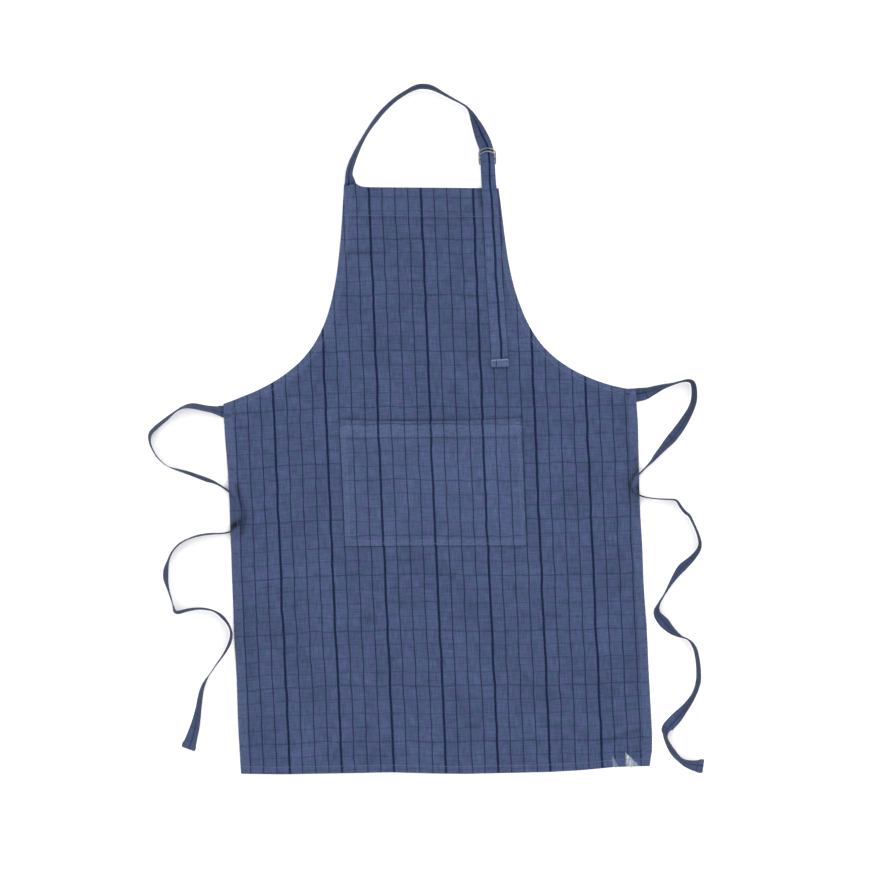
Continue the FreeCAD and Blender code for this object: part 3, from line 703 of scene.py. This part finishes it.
def make_seams(material, soft, quiet):
    """Every row of stitches on the body, one object for each row's own node."""
    made = {}

    def row(node, lines, surface, thread, more=()):
        name = node.replace("stitching", "stitches").replace("tie_", "tie_root_")
        made[node] = sewn(name, lines, surface, thread, more)

    inset = 1.6 * MM
    top, low = PANEL_HIGH.y - TOP_HEM_DEPTH + 0.6 * MM, PANEL_LOW.y + BOTTOM_HEM_DEPTH - inset
    for node, y, more in (("top_hem_stitching", top, ()),
                          ("bottom_hem_stitching", low, loose_ends())):
        half = half_width(y) - 1.5 * MM
        row(node, [[(-half, y), (half, y)]], panel_top, material, more)
    side = moved_in(edge_points(PANEL_LOW.y + 1 * MM, WAIST_Y - 20 * MM), SIDE_HEM_DEPTH - inset)
    arm = moved_in(edge_points(WAIST_Y + 4 * MM, PANEL_HIGH.y - TOP_HEM_DEPTH),
                   FACING_DEPTH - inset)
    for word, sign in SIDES:
        row(f"side_stitching_{word}", [side * (sign, 1)], panel_top, soft)
        row(f"armhole_stitching_{word}", [arm * (sign, 1)], panel_top, material)
        left, right = sorted((sign * (WAIST_HALF - 4.5 * MM), sign * (WAIST_HALF - 19 * MM)))
        row(f"tie_stitching_{word}", cross_box((left, TIE_LEVEL - 8 * MM),
                                               (right, TIE_LEVEL + 3.5 * MM)), panel_top, quiet)
    reach = STRAP_WIDE / 2 - 3 * MM
    for node, x in (("strap_root_stitching", -STRAP_X), ("ring_tab_stitching", STRAP_X)):
        row(node, cross_box((x - reach, PANEL_HIGH.y - 34 * MM),
                            (x + reach, PANEL_HIGH.y - 4 * MM)), panel_top, quiet)
    x, low, high = POCKET_X[1] - 3.4 * MM, POCKET_Y[0] + 3.4 * MM, POCKET_Y[1] - 1 * MM
    row("pocket_stitching", [[(-x, high), (-x, low)], [(-x, low), (x, low)],
                             [(x, low), (x, high)]], pocket_top, soft)
    level = POCKET_Y[1] - MOUTH_SEEN + inset
    row("pocket_mouth_stitching", [[(-x, level), (x, level)]], pocket_top, soft)
    for word, sign in SIDES:
        made[f"pocket_bar_tack_{word}"] = bar_tack(f"pocket_corner_tack_{word}", sign, quiet)
    return made


def bar_tack(name, sign, material):
    """A close zigzag of thread that locks a pocket corner."""
    count, tall = 17, 9 * MM
    y = POCKET_Y[1] - 1.0 * MM - np.linspace(0, tall, count)
    x = np.full(count, sign * (POCKET_X[1] - 1.9 * MM))
    lean = np.where(np.arange(count) % 2 == 0, 0.25, -0.25)
    along = np.stack([np.ones(count), lean, np.zeros(count)], axis=1)
    return threads(name, on_cloth(x, y, pocket_top, 0.12 * MM), along, material, long=2.3 * MM)


# ---- ribbons

SECTION = [(-1, 0), (-0.985, 0.55), (-0.93, 0.86), (-0.84, 0.78), (-0.76, 0.92), (-0.5, 1.0),
           (-0.2, 0.96), (0.1, 0.98), (0.45, 1.0), (0.76, 0.92), (0.84, 0.78), (0.93, 0.86),
           (0.985, 0.55), (1, 0)]
TAB_SECTION = [(-1, 0), (-0.985, 0.9), (-0.5, 1), (0, 1), (0.5, 1), (0.985, 0.9), (1, 0)]
SEAM_AT, SEAM_SUNK = 0.84, 0.80      # where the rows of stitches run, as shares of the section
SEAM_LONG = 2.6 * MM
STRAP_SHIFT, TIE_SHIFT = -0.0026, 0.0171     # where each strap was cut from the check, in metres
TURNED_SHIFT = -0.0118


def spline_points(name, route, per_run=10):
    """Points along the smooth line that a route's points steer, and each route point's place."""
    curve = bpy.data.curves.new(name, "CURVE")
    curve.dimensions = "3D"
    curve.resolution_u = per_run
    spline = curve.splines.new("NURBS")
    spline.points.add(len(route) - 1)
    for point, (x, y) in zip(spline.points, route):
        point.co = (x, y, 0, 1)
    spline.order_u = 3
    spline.use_endpoint_u = True
    holder = link(bpy.data.objects.new(name, curve))
    bpy.context.view_layer.update()
    mesh = bpy.data.meshes.new_from_object(holder)
    line = np.array([v.co[:] for v in mesh.vertices])
    bpy.data.objects.remove(holder)
    bpy.data.meshes.remove(mesh)
    at = [int(np.argmin(np.hypot(line[:, 0] - x, line[:, 1] - y))) for x, y in route]
    at[0], at[-1] = 0, len(line) - 1
    return line, np.maximum.accumulate(at)


def closed(section):
    """A symmetric section's upper side and the same turned round for its lower side."""
    return np.array(section + [(-u, -h) for u, h in section[1:-1]]).T


def cut_from(length, u, width, shift):
    """Places of a strip's skin in the uncut cloth."""
    return np.stack([np.tile(u * width / 2, (len(length), 1)) + shift,
                     np.repeat(length[:, None], len(u), axis=1)], axis=-1)


def ribbon(name, line, tilt, width, thick, materials, shift, end_hem, narrowed=1.0, tone=1.0,
           end_shift=0.0):
    """A sewn strip along a line, with rows of stitches near both edges of both faces.
    Tilt 0 stands it on edge, 90 degrees lays it flat."""
    along = unit(np.gradient(line, axis=0))
    level = unit(np.cross(UP, along))
    across = np.cos(tilt)[:, None] * np.cross(along, level) + np.sin(tilt)[:, None] * level
    out = np.cross(along, across)
    length = run_along(line)
    ends = length[-1] - length
    turned = smoothstep(end_hem + 0.6 * MM, end_hem - 0.6 * MM, ends)
    wide = np.full(len(line), width / 2) * narrowed
    wide = wide * (1 + 0.10 * turned) * (1 - 0.07 * smoothstep(2.2 * MM, 0, ends))
    fat = thick / 2 * (1 + 0.55 * turned) * (1 + 0.12 * soft_noise(length / 0.012, length * 0, 5))
    ripple = 0.25 * MM * soft_noise(length / 0.02, length * 0, 9)
    centre = line + across * ripple[:, None]
    u, h = closed(SECTION)
    faces = wrapped_faces(len(line), len(u))
    flat = cut_from(length, u, width, shift)
    flat[:, :, 0] += end_shift * turned[:, None]
    worn = (np.tile(0.25 + 0.6 * np.abs(u) ** 6, (len(line), 1))
            + 0.35 * smoothstep(end_hem, end_hem - 2 * MM, ends)[:, None])
    tone = np.repeat(np.full(len(line), 1.0) * tone, len(u))
    rows = []
    for side in (-1, 1):
        for face in (-1, 1):
            track = (centre + across * (side * SEAM_AT * wide)[:, None]
                     + out * (face * SEAM_SUNK * fat)[:, None])
            run = run_along(track)
            at = np.arange(2 * MM, run[-1] - end_hem - 2 * MM, STITCH_LONG + STITCH_GAP)
            place = sampled(at, run, track)
            rows.append((place, sampled(at + MM, run, track) - place,
                         sampled(at, run, out * face)))
    more, more_faces = stitch_mesh(*map(np.concatenate, zip(*rows)), long=SEAM_LONG)
    points = np.concatenate([skin(centre, across, out, u, h, wide, fat), more])
    slots = [0] * len(faces) + [1] * len(more_faces)
    faces += [[i + len(tone) for i in f] for f in more_faces]
    return new_object(name, points, faces, np.concatenate([flat.reshape(-1, 2),
                                                           np.zeros((len(more), 2))]),
                      np.concatenate([worn.ravel(), np.zeros(len(more))]), materials, slots,
                      np.concatenate([tone, np.ones(len(more))]))


def tilt_from_shows(route, at, count, width):
    """Lean of a ribbon at every sample, from how wide it looks from above at its route points."""
    shows = np.array([p[2] for p in route]) * MM
    share = np.clip((shows - 1.1 * MM) / (width - 1.1 * MM), 0.01, 1)
    return smoothed(np.interp(np.arange(count), at, np.arcsin(share)), 9)


def smoothed(values, count):
    kernel = np.hanning(count)
    return np.convolve(np.pad(values, count // 2, mode="edge"), kernel / kernel.sum(), "valid")


def settled(z, count, held):
    """Heights made smooth, and never below the first ones but where held."""
    return np.where(held, smoothed(z, count), np.maximum(smoothed(z, count), z))


def on_edge_shade(tilt, deep=0.70):
    """Painted shade: a strap's cloth is painted darker where it stands on edge, as its upright
    faces get less light.
    """
    return deep + (1 - deep) * np.clip(np.sin(tilt) * 1.15, 0, 1) ** 1.6


def standing_height(tilt, width, thick):
    return FLOOR_GAP + width / 2 * np.cos(tilt) + thick / 2 * np.sin(tilt) + 0.2 * MM


def make_tie(name, side, route, under, gather, deep, materials):
    """One waist tie: sewn under the panel's edge, then loose, twisting between edge and flat."""
    route = [(side * 284, TIE_LEVEL / MM - 1, 21)] + route
    line, at = spline_points(name, in_metres(route))
    tilt = tilt_from_shows(route, at, len(line), TIE_WIDE)
    x, y = side * line[:, 0], line[:, 1]
    # under the panel's edge the tie is crumpled to less than half its width
    narrowed = 1 - 0.56 * smoothstep(24 * MM, 6 * MM, distance_to(under, side * x, y))
    narrowed = narrowed * (1 - gather * (y > 0)
                           * smoothstep(WAIST_HALF + 26 * MM, WAIST_HALF + 4 * MM, x))
    root = (x < WAIST_HALF) & (y > 0)
    z = standing_height(tilt, TIE_WIDE * narrowed, STRAP_THICK)
    z = np.where(root, bed(side * x, y) + STRAP_THICK * 0.35, z)
    line[:, 2] = settled(z, 7, root)
    # painted shadow where the tie comes out from under the panel's edge
    gap_shadow = 0.45 * hump((x - WAIST_HALF) / (2.2 * MM) - 0.6, 1) * (y > 0)
    tie = ribbon(name, line, tilt, TIE_WIDE, STRAP_THICK * 0.8, materials, TIE_SHIFT, 9 * MM,
                 narrowed, on_edge_shade(tilt, deep) * (1 - gap_shadow))
    return tie, line


def neck_height(line, tilt):
    """Heights of the neck strap: on the floor, under the bib, through the rings, on the bib."""
    x, y = line[:, 0], line[:, 1]
    z = standing_height(tilt, STRAP_WIDE, STRAP_THICK)
    sewn_end = (x < 0) & (y < PANEL_HIGH.y + 6 * MM)
    z = np.where(sewn_end, FLOOR_GAP + 1.0 * MM, z)
    over = (x > 0.5 * STRAP_X) & (y < RING_LEVELS[-1])
    z = np.where(over, np.interp(y, RING_LEVELS, RING_HEIGHTS), z)
    reach = [panel_top(x + s * STRAP_WIDE, y) for s in (-0.5, -0.25, 0, 0.25, 0.5)]
    on_bib = np.maximum.reduce(reach) + STRAP_THICK / 2 + 0.35 * MM
    clear = np.interp(y, [0.318, 0.334], [0, 4.2 * MM])     # stays over the bars when it slides up
    z = np.where((x > 0) & (y < 0.345), np.maximum(on_bib, clear), z)
    return settled(z, 15, over | sewn_end)


def make_neck_strap(materials):
    """One strip from the left corner of the bib, round the neck, through both rings and down."""
    line, at = spline_points("neck_line", in_metres(NECK))
    tilt = tilt_from_shows(NECK, at, len(line), STRAP_WIDE)
    line[:, 2] = neck_height(line, tilt)
    x, y = line[:, 0], line[:, 1]
    # painted shadow where the strap comes out from under the bib's top edge
    gap_shadow = 0.5 * hump(y - 0.3600, 1.6 * MM) * (x < 0)
    tail = (0.12 * smoothstep(0.37, 0.34, y) + 0.30 * smoothstep(0.0955, 0.0940, y)) * (x > 0)
    narrowed = np.where(x > 0.5 * STRAP_X, np.interp(y, BUNCHED_LEVELS, BUNCHED),
                        np.where(x < 0, np.interp(y, GATHERED_LEVELS, GATHERED), 1.0))
    strap = ribbon("neck_strap", line, tilt, STRAP_WIDE, STRAP_THICK, materials, STRAP_SHIFT,
                   11 * MM, narrowed, on_edge_shade(tilt) * (1 - gap_shadow) + tail, TURNED_SHIFT)
    return strap, line


def make_tail_stitches(line, material):
    """The row across the strap's turned end."""
    x, level = line[-1, 0], line[-1, 1] + 10.2 * MM
    reach = STRAP_WIDE / 2 - 1.5 * MM
    row = int(np.argmin(np.abs(line[:, 1] - level) + (line[:, 0] < 0)))
    across = level_line(x - reach, x + reach, level, 7)
    centres = np.column_stack([across, np.full(7, line[row, 2] + 1.25 * MM)])
    return threads("tail_end_stitches", centres, (1.0, 0.0, 0.0), material, fat=0.36 * MM)


def make_ring_tab(material):
    """The short strip folded round both rings' straight bars, sewn under the bib's corner."""
    bend, bar_z = 1.70 * MM, 2.15 * MM               # middle of the strip, round the bar
    turn = np.linspace(-math.pi / 2, math.pi / 2, 13)
    back = [(PANEL_HIGH.y - 36 * MM, 0.8 * MM), (PANEL_HIGH.y - 10 * MM, 0.8 * MM),
            (BAR_Y - 12 * MM, 0.5 * MM), (BAR_Y - 1 * MM, 0.45 * MM)]
    fold = [(BAR_Y + bend * math.cos(t), bar_z + bend * math.sin(t)) for t in turn]
    front = [(BAR_Y - 8 * MM, 3.85 * MM), (BAR_Y - 15 * MM, 3.7 * MM),
             (BAR_Y - 27 * MM, 2.4 * MM), (PANEL_HIGH.y + 1 * MM, 1.75 * MM)]
    line = resampled([(STRAP_X - 0.9 * MM, y, z) for y, z in back + fold + front], 1.2 * MM)
    across = np.tile([1.0, 0.0, 0.0], (len(line), 1))
    out = np.cross(unit(np.gradient(line, axis=0)), across)
    u, h = closed(TAB_SECTION)
    points = skin(line, across, out, u, h, TAB_WIDE / 2, 0.40 * MM)
    flat = cut_from(run_along(line), u, TAB_WIDE, STRAP_SHIFT).reshape(-1, 2)
    return new_object("ring_tab_strip", points, wrapped_faces(len(line), len(u)), flat,
                      np.full(len(flat), 0.3), [material])


def make_ring(name, long, material):
    """A wire ring from its solid, a little narrower, its round bar further from the straight
    one."""
    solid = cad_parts[name]
    points = np.array([solid.matrix_world @ v.co for v in solid.data.vertices])
    low, high = points.min(axis=0), points.max(axis=0)
    points[:, 0] = RING_X + (points[:, 0] - (low[0] + high[0]) / 2) * RING_SHARE
    points[:, 1] = low[1] + (points[:, 1] - low[1]) * long
    return new_object(f"{name}_wire", points, [tuple(p.vertices) for p in solid.data.polygons],
                      materials=[material])


# ---- materials

BASE_BLUE = (0.0335, 0.0493, 0.1046, 1)
COOL_BLUE = (0.0290, 0.0502, 0.0972, 1)
WARM_BLUE = (0.0391, 0.0451, 0.1144, 1)
STRIPE = (0.0006, 0.0044, 0.0240, 1)
WORN_BLUE = (0.071, 0.097, 0.180, 1)
BARE_FIBRE = (0.46, 0.50, 0.53, 1)
LIT_YARN = (1.7, 1.6, 1.45, 1)       # how much paler the upper yarn of each crossing is
CHECK = 75.8 * MM                    # repeat of the heavy lengthwise stripe
FINE_CHECK = CHECK / 4
CROSS = 81.5 * MM                    # repeat of the heavier cross thread
CROSS_START = -458.5 * MM
YARN_ALONG, YARN_ACROSS = 0.46 * MM, 0.52 * MM
SLUB_LEVEL = -0.46                   # brings the slubs' mean to about 1
# Worn nicks in the hem: top, left edge, right edge at the top, how they widen, strength.
NICKS = ((-0.4785, 0.2608, 0.2622, 1.00, 1.0), (-0.4830, 0.2408, 0.2440, 0.50, 0.42))


class Wire:
    """A node's output; adding and multiplying wires makes maths nodes."""

    def __init__(self, nodes, socket):
        self.nodes, self.socket = nodes, socket

    def __add__(self, other):
        return self.nodes.math("ADD", self, other)

    def __sub__(self, other):
        return self.nodes.math("SUBTRACT", self, other)

    def __rsub__(self, other):
        return self.nodes.math("SUBTRACT", other, self)

    def __mul__(self, other):
        return self.nodes.math("MULTIPLY", self, other)


class Nodes:
    """Short names for building a material's nodes."""

    def __init__(self, name):
        self.material = bpy.data.materials.new(name)
        self.material.use_nodes = True
        self.tree = self.material.node_tree
        self.tree.nodes.clear()

    def add(self, kind, inputs=None, **settings):
        """A node; each input is a number or colour for its socket, or a wire to link to it."""
        node = self.tree.nodes.new("ShaderNode" + kind)
        for key, value in settings.items():
            setattr(node, key, value)
        for key, value in (inputs or {}).items():
            if isinstance(value, Wire):
                self.tree.links.new(value.socket, node.inputs[key])
            else:
                node.inputs[key].default_value = value
        return node

    def out(self, node, key=0):
        return Wire(self, node.outputs[key])

    def math(self, operation, a, b=0.0, c=0.0):
        return self.out(self.add("Math", {0: a, 1: b, 2: c}, operation=operation))

    def mix(self, share, a, b, blend="MIX"):
        return self.out(self.add("Mix", {0: share, 6: a, 7: b}, data_type="RGBA",
                                 blend_type=blend), 2)

    def dimmed(self, colour, share):
        """A colour made darker by a number."""
        grey = self.add("CombineColor", {0: share, 1: share, 2: share})
        return self.mix(1.0, colour, self.out(grey), "MULTIPLY")

    def noise(self, place, scale, detail=2.0, rough=0.5):
        """Noise at a place; three scales stretch it."""
        if isinstance(scale, tuple):
            place = self.out(self.add("VectorMath", {0: place, 1: scale}, operation="MULTIPLY"))
            scale = 1.0
        return self.out(self.add("TexNoise", {"Vector": place, "Scale": scale, "Detail": detail,
                                              "Roughness": rough}), "Fac")

    def ramp(self, value, low, high):
        """0 at low, 1 at high, smooth between them."""
        return self.out(self.add("MapRange", {"Value": value, "From Min": low, "From Max": high},
                                 interpolation_type="SMOOTHSTEP"), "Result")

    def line(self, value, repeat, half, soft):
        """1 on lines that repeat along value, 0 between them, with soft edges."""
        away = self.math("ABSOLUTE", self.math("WRAP", value, repeat / 2, -repeat / 2))
        return self.ramp(away, half + soft, max(half - soft, 0))

    def place(self):
        return self.out(self.add("TexCoord"), "Object")

    def split(self, place):
        node = self.add("SeparateXYZ", {0: place})
        return self.out(node, 0), self.out(node, 1)

    def surface(self, inputs, height=None, strength=0.0, depth=0.0):
        """The shader, a bump that follows height, and the material's output."""
        if height:
            bump = self.add("Bump", {"Strength": strength, "Distance": depth, "Height": height})
            inputs = {**inputs, "Normal": self.out(bump)}
        self.add("OutputMaterial", {0: self.out(self.add("BsdfPrincipled", inputs))})
        return self.material


def fray(n, u, v, place):
    """Two worn, pale nicks at the hem near the right corner, with fibrous edges."""
    fibres = (n.noise(place, (1500, 260, 1), 3.0, 0.6) - 0.5) * 0.007
    found = []
    for top, left, right, spread, strength in NICKS:
        below = top - v
        inside = n.math("MINIMUM", u - left, below * spread + right - u)
        inside = n.math("MINIMUM", inside, below) + fibres
        share = n.ramp(u - left, 0.020, 0.003) * (0.6 * strength) + 0.4 * strength
        found.append(n.ramp(inside, 0.0, 0.0030) * share)
    streaks = n.ramp(n.noise(place, (1200, 110, 1), 3.0, 0.7), 0.36, 0.66)
    return n.math("MAXIMUM", *found) * (streaks * 0.80 + 0.14)


def woven(name, frayed=False):
    """Yarn-dyed cotton: a fine plain weave, slubs, a dark check, edges worn paler and painted
    shade.
    """
    n = Nodes(name)
    place = n.out(n.add("UVMap", uv_map="cloth"))
    u, v = n.split(place)
    wavy_u = u + (n.noise(place, (14, 22, 1)) - 0.5) * 0.0042
    wavy_v = v + (n.noise(place, (26, 9, 1)) - 0.5) * 0.0075

    mottle = n.noise(place, (55, 45, 1), 3.0, 0.6)
    base = n.mix(0.5, n.mix(n.ramp(mottle, 0.38, 0.62), COOL_BLUE, WARM_BLUE), BASE_BLUE)
    long_slub = n.noise(place, (900, 45, 1), 3.0, 0.65)
    cross_slub = n.noise(place, (38, 850, 1), 3.0, 0.65)
    slub = long_slub * 0.62 + cross_slub * 0.55
    broad = n.noise(place, (16, 12, 1), 2.0, 0.55)
    patchy = n.noise(place, (70, 60, 1), 2.0, 0.55)
    streak = n.math("MAXIMUM", slub * 2.5 + SLUB_LEVEL, 0.35)
    base = n.dimmed(base, streak * (broad * 0.55 + patchy * 0.45 + 0.5))

    heavy = n.line(wavy_u, CHECK, 1.75 * MM, 0.7 * MM)
    fine = n.line(wavy_u, FINE_CHECK, 0.85 * MM, 0.5 * MM)
    broken = n.ramp(n.noise(place, (700, 300, 1)), 0.25, 0.62)
    dark = n.math("MAXIMUM", heavy, fine * 0.82) * (broken * 0.24 + 0.78)
    level = wavy_v - CROSS_START
    across = n.math("MAXIMUM", n.line(level, CROSS, 0.95 * MM, 0.75 * MM) * 0.42,
                    n.line(level, CROSS / 4, 0.85 * MM, 0.75 * MM) * 0.26)
    dark = n.math("MAXIMUM", dark, across)
    base = n.mix(dark, base, STRIPE)
    if frayed:
        base = n.mix(fray(n, u, v, place), base, BARE_FIBRE)
    worn = n.out(n.add("Attribute", attribute_name="worn"), "Fac")
    rubbed = worn * n.ramp(n.noise(place, (320, 260, 1), 4.0, 0.7), 0.30, 0.72)
    base = n.mix(rubbed * (0.42 - dark * 0.30), base, WORN_BLUE)

    # plain weave: yarns pass over and under each other in a fine chequer
    weave = (n.math("SINE", wavy_u * (math.pi / YARN_ALONG))
             * n.math("SINE", wavy_v * (math.pi / YARN_ACROSS)))
    lit = n.mix(1.0, base, LIT_YARN, "MULTIPLY")
    base = n.mix((weave * 0.5 + 0.5) * 0.22, base, lit)
    # the tone attribute: painted shade from the meshes, paler in a few places
    base = n.dimmed(base, n.out(n.add("Attribute", attribute_name="tone"), "Fac"))
    return n.surface({"Base Color": base, "Roughness": cross_slub * 0.12 + 0.80,
                      "Sheen Weight": 0.03, "Sheen Roughness": 0.5, "Specular IOR Level": 0.12},
                     weave * 0.5 + slub * 0.9, 0.42, 0.00016)


def thread_material(name, colour):
    """Twisted sewing thread: slanting plies and a slight shine."""
    n = Nodes(name)
    place = n.place()
    x, y = n.split(place)
    ply = n.math("SINE", (x + y) * (2 * math.pi / (0.42 * MM)))
    speck = n.noise(place, 2200.0)
    share = ply * 0.3 + 0.5 + (speck - 0.5) * 0.6
    deep, pale = (tuple(min(1, c * much) for c in colour) + (1,) for much in (0.72, 1.28))
    return n.surface({"Base Color": n.mix(share, deep, pale), "Roughness": speck * 0.2 + 0.55,
                      "Sheen Weight": 0.04, "Specular IOR Level": 0.2}, ply, 0.5, 0.0001)


def nickel_material(name):
    """Plated wire, slightly brushed, with faint handling marks."""
    n = Nodes(name)
    place = n.place()
    marks = n.noise(place, 900.0, 4.0, 0.6)
    broad = n.ramp(n.noise(place, 140.0), 0.3, 0.7)
    tone = n.mix(broad, (0.13, 0.145, 0.15, 1), (0.22, 0.235, 0.235, 1))
    return n.surface({"Base Color": tone, "Metallic": 1.0, "Roughness": marks * 0.22 + 0.20},
                     marks, 0.12, 0.00005)


def floor_material():
    n = Nodes("floor_white")
    tone = n.mix(n.noise(n.place(), 3.0), (0.95, 0.95, 0.95, 1), (0.97, 0.97, 0.97, 1))
    return n.surface({"Base Color": tone, "Roughness": 0.9})


# ---- floor, light and camera

def make_floor():
    corners = [(5 * x, 5 * y, -0.0004) for x, y in ((-1, -1), (1, -1), (1, 1), (-1, 1))]
    new_object("floor", corners, [(0, 1, 2, 3)], materials=[floor_material()])


def make_light():
    world = bpy.data.worlds.new("studio")
    world.use_nodes = True
    sky = world.node_tree.nodes["Background"].inputs
    sky["Color"].default_value, sky["Strength"].default_value = (1, 1, 1, 1), 1.55
    bpy.context.scene.world = world
    sun = bpy.data.lights.new("key", "SUN")
    sun.energy, sun.angle = 1.15, math.radians(24)
    holder = link(bpy.data.objects.new("key", sun))
    holder.location = (1.9, 2.2, 2.0)
    holder.rotation_euler = Vector(holder.location).to_track_quat("Z", "Y").to_euler()


VIEW_WIDE = 1.2871                   # how much of the floor the picture shows across
CAMERA_HIGH = 9.0
CAMERA_TURN = math.radians(2.45)     # the apron lies turned this far from the picture's upright


def make_camera():
    data = bpy.data.cameras.new("camera")
    data.sensor_width = 36
    data.lens = data.sensor_width * CAMERA_HIGH / VIEW_WIDE
    data.clip_end = 50
    camera = link(bpy.data.objects.new("camera", data))
    camera.location = (15.2 * MM, -21.5 * MM, CAMERA_HIGH)
    camera.rotation_euler = (0, 0, -CAMERA_TURN)
    bpy.context.scene.camera = camera
    bpy.context.scene.view_settings.view_transform = "Standard"


# ---- putting it together

def place(piece, body, slot, *nodes):
    if body:
        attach(piece, body)
    if nodes:
        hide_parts(*nodes)
    return piece


def main():
    make_camera()
    make_light()
    make_floor()
    cloth = woven("apron_cotton")
    body_cloth = woven("apron_cotton_front", frayed=True)
    strap_cloth = woven("strap_cotton")
    thread = thread_material("pale_thread", (0.088, 0.113, 0.190))
    soft_thread = thread_material("soft_thread", (0.058, 0.077, 0.140))
    blue_thread = thread_material("blue_thread", (0.036, 0.053, 0.106))
    white_thread = thread_material("white_thread", (0.30, 0.34, 0.42))
    nickel = nickel_material("nickel_wire")
    strap_materials = [strap_cloth, blue_thread]

    # the last number for each tie: how dark its painted shade is where it stands on edge
    for word, side, *how in (("left", -1, LEFT_TIE, LEFT_UNDER, 0.15, 0.54),
                             ("right", 1, RIGHT_TIE, RIGHT_UNDER, 0.06, 0.66)):
        tie, line = make_tie(f"waist_tie_{word}", side, *how, strap_materials)
        place(tie, "apron", "strap_cloth", f"tie_{word}")
        side * WAIST_HALF
        run_along(line)[-1]
        [tuple(p) for p in line]

    body = place(make_panel(body_cloth), "apron", "apron_cloth", "main_panel")
    hems = make_hems(cloth)
    for node, piece in hems.items():
        place(piece, "apron", "apron_cloth", node)
    pocket = place(make_pocket(cloth), "apron", "apron_cloth", "pocket_panel")
    mouth = place(make_mouth_hem(cloth), "apron", "apron_cloth", "pocket_mouth_hem")
    seams = make_seams(thread, soft_thread, blue_thread)
    for node, piece in seams.items():
        place(piece, "apron", "thread", node)
    list(hems.values()) + [p for n, p in seams.items() if "pocket" not in n]
    [mouth] + [p for n, p in seams.items() if "pocket" in n]

    strap, line = make_neck_strap(strap_materials)
    place(strap, None, "strap_cloth", "neck_loop", "strap_tail")
    tail_stitches = place(make_tail_stitches(line, white_thread), "strap_tail", "thread",
                          "tail_end_stitching")
    run_along(line)[-1]
    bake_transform(strap)
    tab = place(make_ring_tab(strap_cloth), "apron", "strap_cloth", "ring_tab")

    for name, long in (("ring_front", 1.0), ("ring_back", 1.14)):
        place(make_ring(name, long, nickel), name, "ring_metal", name)


main()
